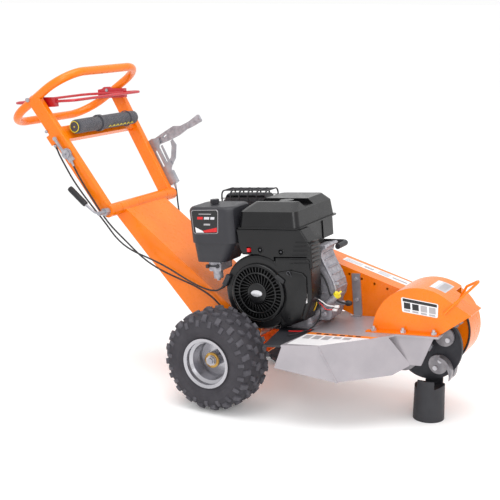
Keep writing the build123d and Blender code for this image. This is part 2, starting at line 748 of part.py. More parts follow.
with BuildPart() as carburettor:
    block((-74, -200, 526), (-18, -110, 566))
    fillet(carburettor.edges().filter_by(Axis.Y), 8)
    with Locations((-44, -180, 516)):
        Cylinder(20, 40)
    with Locations((-44, -180, 492)):
        Cylinder(8, 12)
finish(carburettor, "carburettor")

choke_hinge = (-32.0, -200.0, 548.0)
with BuildPart() as choke_lever:
    bar_y(choke_hinge[0], choke_hinge[2], 8, -206, -200.3)
    block((-72, -206, 545), (-32, -202, 551))
    block((-82, -212, 541), (-70, -202, 555))
finish(choke_lever, "choke_lever")

with BuildPart() as control_box:
    with Locations((14, -214, 496)):
        Box(20, 16, 50, rotation=(0, 30, 0))
    fillet(control_box.edges(), 3)
finish(control_box, "control_box")

with BuildPart() as muffler:
    with Locations((-52, 132, 752)):
        Box(196, 92, 84)
    fillet(muffler.edges().filter_by(Axis.X), 34)
    fillet(muffler.edges().group_by(Axis.X)[0], 6)
    fillet(muffler.edges().group_by(Axis.X)[-1], 6)
    block((-146, 92, 716), (42, 172, 788), mode=Mode.SUBTRACT)
    with Locations((-160, 132, 752)):
        Cylinder(14, 30, rotation=(0, 90, 0))
        Cylinder(11, 44, rotation=(0, 90, 0), mode=Mode.SUBTRACT)
    # Exhaust pipe from the cylinder head
    with BuildLine() as pipe_path:
        FilletPolyline((-9, 132, 714), (-9, 132, 592), (392, 132, 592), (392, 20, 592), radius=26)
    tube(pipe_path.wire(), 11)
    add(cylinder_head.part, mode=Mode.SUBTRACT)
finish(muffler, "muffler")

guard_wire = 2.0
with BuildPart() as muffler_guard:
    for hoop in range(6):
        hoop_x = -156 + hoop * 42
        with BuildSketch(Plane(origin=(hoop_x, 132, 756), x_dir=(0, 1, 0), z_dir=(1, 0, 0))) as ring:
            RectangleRounded(120, 112, 24)
            RectangleRounded(110, 102, 19, mode=Mode.SUBTRACT)
        extrude(ring.sketch, amount=5)
    for step in range(5):
        with Locations((-49, 98 + step * 17, 809.5)):
            Cylinder(guard_wire, 220, rotation=(0, 90, 0))
    for rail_side in (-1, 1):
        for step in range(3):
            with Locations((-49, 132 + rail_side * 57.5, 730 + step * 25)):
                Cylinder(guard_wire, 220, rotation=(0, 90, 0))
    block((-160, 114, 702), (62, 119, 709.9))
    block((-160, 145, 702), (62, 150, 709.9))
    add(muffler.part, mode=Mode.SUBTRACT)
finish(muffler_guard, "muffler_guard")

with BuildPart() as dipstick_cap:
    with BuildSketch(Plane(origin=filler_end + filler_axis * 0.3, z_dir=filler_axis)) as cap:
        Circle(15)
    extrude(cap.sketch, amount=10)
    with BuildSketch(Plane(origin=filler_end + filler_axis * 10.3, x_dir=(0, 1, 0.16),
                           z_dir=filler_axis)) as wing:
        RectangleRounded(30, 7, 3)
    extrude(wing.sketch, amount=12)
finish(dipstick_cap, "dipstick_cap")

# ---------------------------------------------------------------- drive

top_slope = atan2(-0.361, 1)
top_normal = (-sin(top_slope), cos(top_slope))
guard_top_rear = (crank[0] + guard_rear_radius * top_normal[0], crank[1] + guard_rear_radius * top_normal[1])
guard_top_front = (660.0, guard_top_rear[1] + (660.0 - guard_top_rear[0]) * tan(top_slope))


def guard_face(shrink):
    """The belt guard's side profile, drawn in by a sheet thickness where asked."""
    with Locations(crank):
        Circle(guard_rear_round - shrink)
    with Locations(guard_front):
        Circle(guard_front_radius - shrink)
    drop = (-top_normal[0] * shrink, -top_normal[1] * shrink)
    with BuildLine() as edge:
        Polyline((crank[0] - 56, crank[1] + 70 - shrink),
                 (guard_top_rear[0] + drop[0], guard_top_rear[1] + drop[1]),
                 (guard_top_front[0] + drop[0], guard_top_front[1] + drop[1]),
                 (690, 112 + 2 * shrink), (410, 297 + shrink), (315, 335 + shrink),
                 (crank[0], crank[1] - guard_rear_round + 1 + shrink), close=True)
    make_face(edge.edges())


with BuildPart() as guard_plate:
    with BuildSketch(side(guard_near + 3)):
        guard_face(0)
        with Locations(crank):
            Circle(20, mode=Mode.SUBTRACT)
        with Locations(cutter):
            Circle(20, mode=Mode.SUBTRACT)
        for hole in range(5):
            with Locations((353 + hole * 54.3, 484 - hole * 18.3)):
                Circle(5, mode=Mode.SUBTRACT)
    extrude(amount=3)
finish(guard_plate, "guard_plate")

with BuildPart() as belt_guard:
    with BuildSketch(side(guard_far)):
        guard_face(0)
    extrude(amount=guard_far - guard_near - 3)
    with BuildSketch(side(guard_far - 3)):
        guard_face(3)
    extrude(amount=guard_far - guard_near, mode=Mode.SUBTRACT)
finish(belt_guard, "belt_guard")

with BuildPart() as guard_strap:
    block((421, 90, deck_top), (457, 94, 470))
    block((421, 94, 305), (457, 98, 470))
    block((421, 66, deck_top), (457, 90, deck_top + 4))
finish(guard_strap, "guard_strap")


def pulley(centre, radius, bore):
    """A three-groove pulley."""
    bar_y(centre[0], centre[1], radius, pulley_near, pulley_near + pulley_width)
    for groove in range(3):
        middle = pulley_near + pulley_width / 2 + (groove - 1) * groove_pitch
        with BuildSketch(side(middle + groove_width / 2)) as ring:
            with Locations(centre):
                Circle(radius + 1)
                Circle(radius - groove_depth, mode=Mode.SUBTRACT)
        extrude(ring.sketch, amount=groove_width, mode=Mode.SUBTRACT)
    bar_y(centre[0], centre[1], bore, 90, 260, mode=Mode.SUBTRACT)


with BuildPart() as drive_pulley:
    pulley(crank, drive_pulley_radius, crank_radius)
finish(drive_pulley, "drive_pulley")

with BuildPart() as driven_pulley:
    pulley(cutter, driven_pulley_radius, shaft_radius)
finish(driven_pulley, "driven_pulley")

with BuildPart() as drive_belts:
    seat = groove_depth - 1
    for groove in range(3):
        middle = pulley_near + pulley_width / 2 + (groove - 1) * groove_pitch
        with BuildSketch(side(middle + belt_width / 2)) as outer_loop:
            with Locations(crank):
                Circle(drive_pulley_radius - seat + belt_height)
            with Locations(cutter):
                Circle(driven_pulley_radius - seat + belt_height)
            make_hull()
        with BuildSketch(side(middle + belt_width / 2)) as inner_loop:
            with Locations(crank):
                Circle(drive_pulley_radius - seat)
            with Locations(cutter):
                Circle(driven_pulley_radius - seat)
            make_hull()
        extrude(outer_loop.sketch - inner_loop.sketch, amount=belt_width)
finish(drive_belts, "drive_belts")

# ---------------------------------------------------------------- cutter

disc_near = cutter_y - disc_thickness / 2
disc_far = cutter_y + disc_thickness / 2
pocket_reach = 82.0
pocket_radius = 38.0
pocket_depth = 11.0
bolt_radius = 6.0
station_angles = [first_station + n * 360 / tooth_stations for n in range(tooth_stations)]


def at_station(angle, reach, swing):
    """A side-view point on the cutter: reach out along the station, swing across it."""
    a = radians(angle)
    return (cutter[0] + reach * cos(a) - swing * sin(a), cutter[1] + reach * sin(a) + swing * cos(a))


bolt_places = [(pocket_reach - 9, 17), (pocket_reach + 6, -17)]

with BuildPart() as cutter_disc:
    bar_y(cutter[0], cutter[1], disc_radius, disc_near, disc_far)
    for angle in station_angles:
        for reach, swing in bolt_places:
            bar_y(*at_station(angle, reach, swing), bolt_radius, -60, 30, mode=Mode.SUBTRACT)
    bar_y(cutter[0], cutter[1], shaft_radius, -60, 30, mode=Mode.SUBTRACT)
finish(cutter_disc, "cutter_disc")

with BuildPart() as cutter_teeth:
    for angle in station_angles:
        for low, high, claw_low, claw_high in (
            (disc_near - pocket_depth, disc_near, disc_near - 34, disc_near),
            (disc_far, disc_far + pocket_depth, disc_far, disc_far + 34),
        ):
            bar_y(*at_station(angle, pocket_reach, 0), pocket_radius, low, high)
            with BuildSketch(side(claw_high)) as claw:
                with BuildLine():
                    ThreePointArc(at_station(angle, 56, 30), at_station(angle, 108, 46),
                                  at_station(angle, 155, 10))
                    ThreePointArc(at_station(angle, 155, 10), at_station(angle, 112, 32),
                                  at_station(angle, 64, 20))
                    Line(at_station(angle, 64, 20), at_station(angle, 56, 30))
                make_face()
            extrude(claw.sketch, amount=claw_high - claw_low)
        for reach, swing in bolt_places:
            bar_y(*at_station(angle, reach, swing), bolt_radius, -60, 30, mode=Mode.SUBTRACT)
finish(cutter_teeth, "cutter_teeth")

with BuildPart() as tooth_bolts:
    head_near = disc_near - pocket_depth
    head_far = disc_far + pocket_depth
    for angle in station_angles:
        for reach, swing in bolt_places:
            spot = at_station(angle, reach, swing)
            bar_y(*spot, bolt_radius, head_near - 6, head_far + 6)
            bar_y(*spot, 9, head_near - 6, head_near)
            bar_y(*spot, 9, head_far, head_far + 6)
    add(cutter_teeth.part, mode=Mode.SUBTRACT)
finish(tooth_bolts, "tooth_bolts")

with BuildPart() as cutter_shaft:
    bar_y(cutter[0], cutter[1], shaft_radius, disc_near - 8, 206)
    bar_y(cutter[0], cutter[1], 36, disc_far, disc_far + 12)
    with BuildSketch(side(disc_near)) as nut:
        with Locations(cutter):
            RegularPolygon(22, 6)
    extrude(nut.sketch, amount=14)
finish(cutter_shaft, "cutter_shaft")

with BuildPart() as cutter_bearings:
    for low, high in ((50, 84), (101, 122)):
        bar_y(cutter[0], cutter[1], 42, low, high)
    bar_y(cutter[0], cutter[1], shaft_radius + running_gap, 20, 200, mode=Mode.SUBTRACT)
finish(cutter_bearings, "cutter_bearings")

# ---------------------------------------------------------------- hood

nose_run = hypot(hood_nose[0] - hood_centre[0], hood_nose[1] - hood_centre[1])
nose_angle = atan2(hood_nose[1] - hood_centre[1], hood_nose[0] - hood_centre[0])
tangent_angle = nose_angle + acos(hood_radius / nose_run)
nose_slope = (sin(tangent_angle), -cos(tangent_angle))


def hood_tangent(radius):
    """Where the hood's round back turns into its straight nose."""
    return (hood_centre[0] + radius * cos(tangent_angle), hood_centre[1] + radius * sin(tangent_angle))


def hood_sheet(y0, y1):
    """The hood's curved top sheet between two sides."""
    inner_radius = hood_radius - sheet
    rear = (hood_centre[0] - (hood_radius**2 - (deck_top - hood_centre[1]) ** 2) ** 0.5, deck_top)
    rear_inner = (hood_centre[0] - (inner_radius**2 - (deck_top - hood_centre[1]) ** 2) ** 0.5, deck_top)
    top = (hood_centre[0], hood_centre[1] + hood_radius)
    top_inner = (hood_centre[0], hood_centre[1] + inner_radius)
    nose_inner = (hood_nose[0] - sheet * cos(tangent_angle), hood_nose[1] - sheet * sin(tangent_angle))
    with BuildSketch(side(y1)) as section:
        with BuildLine():
            ThreePointArc(rear, top, hood_tangent(hood_radius))
            Line(hood_tangent(hood_radius), hood_nose)
            Line(hood_nose, nose_inner)
            Line(nose_inner, hood_tangent(inner_radius))
            ThreePointArc(hood_tangent(inner_radius), top_inner, rear_inner)
            Line(rear_inner, rear)
        make_face()
    extrude(section.sketch, amount=y1 - y0)


with BuildPart() as cutter_hood:
    hood_sheet(hood_near, hood_far)
    for low, high in ((hood_near, hood_near + sheet), (hood_far - sheet, hood_far)):
        with BuildSketch(side(high)) as cheek:
            with BuildLine():
                hood_rear = (hood_centre[0] - (hood_radius**2 - (deck_top - hood_centre[1]) ** 2) ** 0.5,
                             deck_top)
                ThreePointArc(hood_rear, (hood_centre[0], hood_centre[1] + hood_radius),
                              hood_tangent(hood_radius))
                Polyline(hood_tangent(hood_radius), hood_nose, (857, deck_top), hood_rear)
            make_face()
        extrude(cheek.sketch, amount=high - low)
    block((566, hood_near - 25, deck_top), (856, hood_near, deck_top + sheet))
    # The nose sheet is cut back on the belt side.
    block((hood_tangent(hood_radius)[0] + 2, 20, 200), (1100, 100, 600), mode=Mode.SUBTRACT)
    # Lifting loop
    with BuildLine() as loop_path:
        FilletPolyline((878, hood_near - 3.5, 379), (1012, hood_near + 2, 505), (1000, -68, 500),
                       (950, -50, 474), (914, -24, 420), radius=9)
    tube(loop_path.wire(), 5)
finish(cutter_hood, "cutter_hood")

# ---------------------------------------------------------------- fasteners and cables


def hex_head(plane, across, height):
    """A hexagon head standing on a plane."""
    with BuildSketch(plane) as head:
        RegularPolygon(across, 6)
    extrude(head.sketch, amount=height)


with BuildPart() as frame_bolts:
    for end in (-1, 1):
        bar_y(0, axle_height, 21, end * 355.5 - 1, end * 355.5 + 1)
        hex_head(Plane(origin=(0, end * 356.5, axle_height), z_dir=(0, end, 0)), 20, 10)
    bar_y(0, axle_height, axle_radius, -380, 380, mode=Mode.SUBTRACT)
    for bolt_z in (362, 448):
        hex_head(Plane(origin=(439, 90, bolt_z), z_dir=(0, -1, 0)), 8.5, 6)
    lid_z = guard_top_rear[1] + (300 - guard_top_rear[0]) * tan(top_slope)
    hex_head(Plane(origin=(300, 128, lid_z), z_dir=(-sin(top_slope), 0, cos(top_slope))), 8, 6)
    for bolt_x in (596, 716, 838):
        hex_head(Plane(origin=(bolt_x, hood_near - 13, deck_top + sheet)), 11, 9)
        with Locations((bolt_x, hood_near - 13, deck_top + sheet + 13)):
            Cylinder(6, 10)
finish(frame_bolts, "frame_bolts")

cable_radius = 3.5
cord("opc_cable", [
    (-744, -263, 1060), (-737, -262, 1030), (-712, -262, 982), (-672, -262, 910), (-620, -260, 837),
    (-570, -257, 775), (-536, -250, 728), (-495, -235, 655), (-440, -220, 606), (-360, -205, 571),
    (-278, -195, 532), (-200, -190, 486), (-125, -194, 455), (-70, -200, 444), (-28, -208, 451),
    (0, -213.5, 472.3),
], cable_radius)
cord("throttle_cable", [
    (-659, -273, 987.5), (-641, -273, 945), (-608, -268, 881), (-572, -262, 818), (-546, -255, 768),
    (-516, -240, 712), (-466, -214, 644), (-402, -194, 568), (-330, -184, 520), (-250, -175, 485),
    (-172, -170, 455), (-104, -165, 418), (-62, -158, 374), (-30, -153.6, 336),
], cable_radius)
cord("brake_cable", [
    (-506, 253, 813), (-499, 251, 783), (-496, 246, 735), (-484, 234, 676), (-450, 216, 612),
    (-392, 199, 552), (-322, 184, 500), (-248, 174, 452), (-172, 167, 410), (-100, 162, 370),
    (-38, 157, 328), (20, 153.6, 285),
], cable_radius)
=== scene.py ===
import json
from math import atan2, cos, pi, radians, sin

import bmesh
import bpy
from mathutils import Matrix, Vector


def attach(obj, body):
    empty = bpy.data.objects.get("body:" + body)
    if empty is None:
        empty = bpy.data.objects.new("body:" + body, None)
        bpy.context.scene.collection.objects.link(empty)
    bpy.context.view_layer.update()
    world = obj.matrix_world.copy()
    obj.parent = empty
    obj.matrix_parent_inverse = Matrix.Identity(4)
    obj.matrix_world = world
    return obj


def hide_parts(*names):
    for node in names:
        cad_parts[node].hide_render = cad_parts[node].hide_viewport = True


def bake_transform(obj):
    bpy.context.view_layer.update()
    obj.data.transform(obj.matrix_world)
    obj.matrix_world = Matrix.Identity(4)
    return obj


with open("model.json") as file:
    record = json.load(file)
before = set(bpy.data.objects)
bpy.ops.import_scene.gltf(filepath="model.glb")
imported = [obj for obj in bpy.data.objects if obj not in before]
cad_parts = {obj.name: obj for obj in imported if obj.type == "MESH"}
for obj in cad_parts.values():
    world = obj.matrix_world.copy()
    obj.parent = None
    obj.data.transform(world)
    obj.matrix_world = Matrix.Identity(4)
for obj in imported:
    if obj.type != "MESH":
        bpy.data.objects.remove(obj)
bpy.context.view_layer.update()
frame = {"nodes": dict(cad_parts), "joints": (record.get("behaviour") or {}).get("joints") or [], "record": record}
joints = {joint["name"]: joint for joint in frame["joints"]}

# ---------------------------------------------------------------- the machine's own frame
# The machine stands pitched nose-up about its axle.  Pieces are made level, in metres from
# the axle's foot, with X forward, Y to the left and Z up, and are then pitched with it.

axle = Vector(joints["wheel_right_spin"]["pos_m"])
cap_axis = joints["fuel_cap_turn"]["axis"]
pitch = atan2(-cap_axis[0], cap_axis[2])
pivot = Vector((axle.x, 0, axle.z))
LEVEL = (Matrix.Translation(pivot) @ Matrix.Rotation(-pitch, 4, "Y")
         @ Matrix.Translation((0, 0, -axle.z)))
FROM_LEVEL = LEVEL.inverted()


def level_box(node):
    """A CAD node's lowest and highest corner in the level frame."""
    points = [FROM_LEVEL @ v.co for v in frame["nodes"][node].data.vertices]
    low = Vector([min(p[i] for p in points) for i in range(3)])
    high = Vector([max(p[i] for p in points) for i in range(3)])
    return low, high


def level_joint(name):
    """A joint's place in the level frame."""
    return FROM_LEVEL @ Vector(joints[name]["pos_m"])


# ---------------------------------------------------------------- mesh helpers


def finish_piece(obj, body, material, smooth=35, place=LEVEL):
    """Puts a mesh in the machine's frame, smooths it, gives it its material and its body."""
    obj.data.transform(place)
    for polygon in obj.data.polygons:
        polygon.use_smooth = True
    obj.data.set_sharp_from_angle(angle=radians(smooth))
    if not obj.data.materials:
        obj.data.materials.append(material)
    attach(obj, body)
    return obj


def from_bmesh(name, bm):
    """A new object holding a bmesh."""
    bmesh.ops.recalc_face_normals(bm, faces=bm.faces)
    mesh = bpy.data.meshes.new(name)
    bm.to_mesh(mesh)
    bm.free()
    obj = bpy.data.objects.new(name, mesh)
    bpy.context.scene.collection.objects.link(obj)
    return obj


def apply_modifiers(obj):
    """Bakes an object's modifiers into its mesh."""
    graph = bpy.context.evaluated_depsgraph_get()
    mesh = bpy.data.meshes.new_from_object(obj.evaluated_get(graph))
    obj.modifiers.clear()
    obj.data = mesh
    return obj


def add_lathe(bm, profile, centre, segments=64, closed=False, squash=(1.0, 1.0)):
    """Adds a profile of (radius, y) turned about the Y line through centre."""
    rings = []
    for k in range(segments):
        a = 2 * pi * k / segments
        rings.append([
            bm.verts.new(centre + Vector((r * cos(a) * squash[0], y, r * sin(a) * squash[1])))
            for r, y in profile
        ])
    last = len(profile) if closed else len(profile) - 1
    for k in range(segments):
        here, there = rings[k], rings[(k + 1) % segments]
        for j in range(last):
            n = (j + 1) % len(profile)
            bm.faces.new((here[j], here[n], there[n], there[j]))


BOX_FACES = ((0, 3, 2, 1), (4, 5, 6, 7), (0, 1, 5, 4), (1, 2, 6, 5), (2, 3, 7, 6), (3, 0, 4, 7))
BOX_SIDES = ((-1, -1), (1, -1), (1, 1), (-1, 1))


def add_block(bm, centre, size, turn=Matrix.Identity(3), taper=0.0):
    """Adds a box, narrower at its top where tapered."""
    corners = []
    for dz in (-0.5, 0.5):
        shrink = 1 - taper if dz > 0 else 1
        for dx, dy in BOX_SIDES:
            offset = Vector((dx * 0.5 * size[0] * shrink, dy * 0.5 * size[1] * shrink, dz * size[2]))
            corners.append(bm.verts.new(Vector(centre) + turn @ offset))
    for face in BOX_FACES:
        bm.faces.new([corners[i] for i in face])


def add_prism(bm, outline, start, along):
    """Adds a closed outline of 3-D points pushed along a vector."""
    low = [bm.verts.new(Vector(start) + Vector(p)) for p in outline]
    high = [bm.verts.new(v.co + Vector(along)) for v in low]
    bm.faces.new(low)
    bm.faces.new(list(reversed(high)))
    for k in range(len(low)):
        n = (k + 1) % len(low)
        bm.faces.new((low[k], low[n], high[n], high[k]))


def bevel(obj, width, segments=2, angle=40):
    """Rounds an object's sharp edges."""
    modifier = obj.modifiers.new("edge", "BEVEL")
    modifier.width = width
    modifier.segments = segments
    modifier.limit_method = "ANGLE"
    modifier.angle_limit = radians(angle)
    return apply_modifiers(obj)


def plate(name, outline, plane, thickness, edge=0.0):
    """A flat piece: outline points in a plane (origin, x, y), thickened along its normal."""
    origin, x_dir, y_dir = (Vector(v) for v in plane)
    normal = x_dir.cross(y_dir).normalized()
    bm = bmesh.new()
    points = [x_dir * u + y_dir * v for u, v in outline]
    add_prism(bm, points, origin, normal * thickness)
    obj = from_bmesh(name, bm)
    return bevel(obj, edge) if edge else obj


def smooth_path(points, steps=10):
    """A Catmull-Rom line through the points."""
    points = [Vector(p) for p in points]
    ends = [2 * points[0] - points[1]] + points + [2 * points[-1] - points[-2]]
    line = []
    for a, b, c, d in zip(ends, ends[1:], ends[2:], ends[3:]):
        for k in range(steps):
            t = k / steps
            line.append(0.5 * ((2 * b) + (c - a) * t + (2 * a - 5 * b + 4 * c - d) * t * t
                               + (3 * b - a - 3 * c + d) * t ** 3))
    return line + [points[-1]]


def add_pipe(bm, line, radius, sides=10):
    """Adds a capped round pipe along a line of points; radius may be a number per point."""
    radii = radius if isinstance(radius, list) else [radius] * len(line)
    rings = []
    across = Vector((0, 0, 1)).cross(line[1] - line[0])
    if across.length < 1e-6:
        across = Vector((1, 0, 0))
    for k, point in enumerate(line):
        ahead = (line[min(k + 1, len(line) - 1)] - line[max(k - 1, 0)]).normalized()
        across = (across - ahead * across.dot(ahead)).normalized()
        up = ahead.cross(across)
        rings.append([
            bm.verts.new(point + (across * cos(2 * pi * j / sides) + up * sin(2 * pi * j / sides))
                         * radii[k]) for j in range(sides)
        ])
    for here, there in zip(rings, rings[1:]):
        for j in range(sides):
            n = (j + 1) % sides
            bm.faces.new((here[j], here[n], there[n], there[j]))
    bm.faces.new(rings[0])
    bm.faces.new(list(reversed(rings[-1])))


def pipe(name, line, radius, sides=10):
    """An object that is one round pipe."""
    bm = bmesh.new()
    add_pipe(bm, line, radius, sides)
    return from_bmesh(name, bm)


# ---------------------------------------------------------------- materials


def linear(*rgb):
    """A display colour, 0 to 255, as a shader colour."""
    channels = []
    for c in rgb:
        c = c / 255
        channels.append(c / 12.92 if c <= 0.04045 else ((c + 0.055) / 1.055) ** 2.4)
    return (*channels, 1.0)


def shader(name):
    """A new material, its node tree and its surface node."""
    material = bpy.data.materials.new(name)
    material.use_nodes = True
    return material, material.node_tree, material.node_tree.nodes["Principled BSDF"]


def noise(tree, scale, detail=3.0, stretch=None, seed=0.0):
    """A noise texture in object coordinates, stretched along an axis where asked."""
    place = tree.nodes.new("ShaderNodeTexCoord")
    mapping = tree.nodes.new("ShaderNodeMapping")
    mapping.inputs["Location"].default_value = (seed, seed * 0.7, seed * 1.3)
    mapping.inputs["Scale"].default_value = stretch or (1, 1, 1)
    texture = tree.nodes.new("ShaderNodeTexNoise")
    texture.inputs["Scale"].default_value = scale
    texture.inputs["Detail"].default_value = detail
    tree.links.new(place.outputs["Object"], mapping.inputs["Vector"])
    tree.links.new(mapping.outputs["Vector"], texture.inputs["Vector"])
    return texture.outputs["Fac"]


def ramp(tree, source, low, high, start=0.35, end=0.65):
    """A colour that goes from low to high with the source."""
    node = tree.nodes.new("ShaderNodeValToRGB")
    node.color_ramp.elements[0].position = start
    node.color_ramp.elements[1].position = end
    node.color_ramp.elements[0].color = low
    node.color_ramp.elements[1].color = high
    tree.links.new(source, node.inputs["Fac"])
    return node.outputs["Color"]


def spread(tree, source, low, high):
    """A value that goes from low to high with the source."""
    node = tree.nodes.new("ShaderNodeMapRange")
    node.inputs["From Min"].default_value = 0.3
    node.inputs["From Max"].default_value = 0.7
    node.inputs["To Min"].default_value = low
    node.inputs["To Max"].default_value = high
    tree.links.new(source, node.inputs["Value"])
    return node.outputs["Result"]


def bump(tree, surface, source, depth, strength=1.0):
    """Raises the surface by the source, depth in metres."""
    node = tree.nodes.new("ShaderNodeBump")
    node.inputs["Distance"].default_value = depth
    node.inputs["Strength"].default_value = strength
    tree.links.new(source, node.inputs["Height"])
    tree.links.new(node.outputs["Normal"], surface.inputs["Normal"])


def finish_material(name, colour, other, rough, grain, depth, metallic=0.0, coat=0.0,
                    patch=9.0, stretch=None, specular=0.5):
    """A surface whose colour and sheen wander, over a fine grain."""
    material, tree, surface = shader(name)
    wander = noise(tree, patch, 5.0, seed=len(name) * 0.37)
    tree.links.new(ramp(tree, wander, colour, other), surface.inputs["Base Color"])
    smudge = noise(tree, patch * 4.3, 4.0, stretch, seed=len(name) * 0.61)
    tree.links.new(spread(tree, smudge, rough[0], rough[1]), surface.inputs["Roughness"])
    bump(tree, surface, noise(tree, grain, 2.0, stretch), depth)
    surface.inputs["Metallic"].default_value = metallic
    surface.inputs["Coat Weight"].default_value = coat
    surface.inputs["Coat Roughness"].default_value = 0.12
    surface.inputs["Specular IOR Level"].default_value = specular
    return material


orange = finish_material("orange_paint", linear(240, 121, 3), linear(234, 114, 1), (0.24, 0.34),
                         420, 0.00010, coat=0.25, specular=0.3)
grey_paint = finish_material("grey_paint", linear(166, 160, 165), linear(156, 151, 156), (0.34, 0.48),
                             500, 0.0001, metallic=0.25, coat=0.25)
black_paint = finish_material("black_paint", linear(38, 38, 43), linear(33, 33, 38), (0.45, 0.6),
                              700, 0.0002)
red_paint = finish_material("red_paint", linear(186, 8, 32), linear(174, 5, 27), (0.25, 0.35),
                            500, 0.0001, coat=0.6)
engine_plastic = finish_material("engine_plastic", linear(17, 17, 19), linear(11, 11, 13), (0.26, 0.36),
                                 1300, 0.00014, coat=0.15, specular=0.3)
cleaner_plastic = finish_material("cleaner_plastic", linear(46, 46, 51), linear(40, 40, 45),
                                  (0.36, 0.48), 1500, 0.00025, specular=0.4)
red_plastic = finish_material("red_plastic", linear(214, 22, 26), linear(200, 18, 22), (0.25, 0.4),
                              900, 0.0001)
yellow_plastic = finish_material("yellow_plastic", linear(236, 218, 36), linear(226, 206, 28),
                                 (0.3, 0.45), 900, 0.0001)
cast_aluminium = finish_material("cast_aluminium", linear(178, 176, 182), linear(146, 145, 152),
                                 (0.36, 0.55), 900, 0.0005, metallic=0.5, patch=60)
zinc_steel = finish_material("zinc_steel", linear(170, 170, 176), linear(150, 150, 157), (0.28, 0.42),
                             700, 0.0001, metallic=0.55, patch=22)
rim_paint = finish_material("rim_paint", linear(178, 177, 182), linear(170, 169, 174), (0.2, 0.26),
                            420, 0.00003, metallic=0.85, coat=0.3, patch=5)
cutter_steel = finish_material("cutter_steel", linear(38, 38, 44), linear(30, 30, 36), (0.35, 0.55),
                               500, 0.0002, metallic=0.35, patch=18)
tooth_steel = finish_material("tooth_steel", linear(142, 139, 142), linear(116, 113, 118), (0.3, 0.5),
                              350, 0.0003, metallic=0.45, patch=40)
cast_iron = finish_material("cast_iron", linear(86, 86, 90), linear(66, 66, 70), (0.5, 0.7), 500,
                            0.0004, metallic=0.6)
black_rubber = finish_material("black_rubber", linear(34, 34, 37), linear(26, 26, 29), (0.5, 0.68),
                               900, 0.0002)
tyre_rubber = finish_material("tyre_rubber", linear(62, 60, 65), linear(53, 51, 56), (0.62, 0.8),
                              700, 0.0003, patch=16, specular=0.3)
tread_rubber = finish_material("tread_rubber", linear(84, 82, 88), linear(64, 62, 68), (0.55, 0.75),
                               700, 0.0003, patch=24, specular=0.35)
bolt_steel = finish_material("bolt_steel", linear(196, 194, 198), linear(172, 171, 176), (0.25, 0.4),
                             700, 0.0001, metallic=0.5, patch=30)
gold_zinc = finish_material("gold_zinc", linear(196, 158, 84), linear(160, 120, 60), (0.25, 0.45),
                            500, 0.0001, metallic=0.85, patch=60)
white_label = finish_material("white_label", linear(236, 234, 234), linear(226, 224, 226),
                              (0.3, 0.4), 900, 0.00004)
dark_label = finish_material("dark_label", linear(24, 24, 27), linear(18, 18, 20), (0.2, 0.3), 900,
                             0.00004)
grey_label = finish_material("grey_label", linear(176, 172, 174), linear(160, 157, 160), (0.3, 0.4),
                             900, 0.00004)
silver_label = finish_material("silver_label", linear(214, 214, 218), linear(196, 196, 202),
                               (0.2, 0.3), 900, 0.00004, metallic=0.4)
warning_orange = finish_material("warning_orange", linear(236, 130, 24), linear(226, 120, 18),
                                 (0.3, 0.4), 900, 0.00004)
wire_yellow = finish_material("wire_yellow", linear(226, 184, 44), linear(212, 168, 36), (0.3, 0.4),
                              900, 0.0001)
wire_brown = finish_material("wire_brown", linear(92, 38, 24), linear(78, 30, 20), (0.3, 0.4), 900,
                             0.0001)

slot_materials = {
    "orange_paint": orange, "grey_paint": grey_paint, "black_paint": black_paint,
    "red_paint": red_paint, "engine_plastic": engine_plastic, "cleaner_plastic": cleaner_plastic,
    "red_plastic": red_plastic, "yellow_plastic": yellow_plastic,
    "cast_aluminium": cast_aluminium, "zinc_steel": zinc_steel, "rim_paint": rim_paint,
    "cutter_steel": cutter_steel, "tooth_steel": tooth_steel, "cast_iron": cast_iron,
    "black_rubber": black_rubber, "tyre_rubber": tyre_rubber,
}
for subpart in frame["record"]["subparts"]:
    node = frame["nodes"][subpart["node"]]
    node.data.materials.clear()
    node.data.materials.append(slot_materials.get(subpart["material_slot"], black_rubber))

for name in ("tooth_bolts", "frame_bolts"):
    frame["nodes"][name].data.materials.clear()
    frame["nodes"][name].data.materials.append(bolt_steel)

# ---------------------------------------------------------------- camera, light and floor

camera_turn = radians(29.2)
camera_rise = radians(13.4)
camera_from_axle = Vector((2.0939, -3.7919, 1.6084))

camera_data = bpy.data.cameras.new("camera")
camera = bpy.data.objects.new("camera", camera_data)
bpy.context.scene.collection.objects.link(camera)
camera_data.lens = 77.3
camera_data.sensor_width = 36
back = Vector((sin(camera_turn) * cos(camera_rise), -cos(camera_turn) * cos(camera_rise),
               sin(camera_rise)))
camera.rotation_mode = "QUATERNION"
camera.rotation_quaternion = (-back).to_track_quat("-Z", "Y")
camera.location = Vector((axle.x, 0, 0)) + camera_from_axle
bpy.context.scene.camera = camera
bpy.context.scene.view_settings.view_transform = "Standard"

world = bpy.data.worlds.new("studio")
bpy.context.scene.world = world
world.use_nodes = True
sky = world.node_tree.nodes["Background"]
sky.inputs["Color"].default_value = (1.0, 1.0, 1.0, 1.0)
sky.inputs["Strength"].default_value = 0.98


def softbox(name, place, target, size, power):
    """A rectangular area light aimed at a point."""
    light = bpy.data.lights.new(name, "AREA")
    light.shape = "RECTANGLE"
    light.size, light.size_y = size
    light.energy = power
    obj = bpy.data.objects.new(name, light)
    bpy.context.scene.collection.objects.link(obj)
    obj.location = place
    obj.rotation_mode = "QUATERNION"
    obj.rotation_quaternion = (Vector(target) - Vector(place)).to_track_quat("-Z", "Y")


softbox("top_light", (0.4, -0.6, 3.6), (0.0, 0.0, 0.4), (3.2, 2.4), 62)
softbox("front_light", (2.6, -3.4, 2.2), (0.1, 0.0, 0.5), (2.0, 1.6), 44)

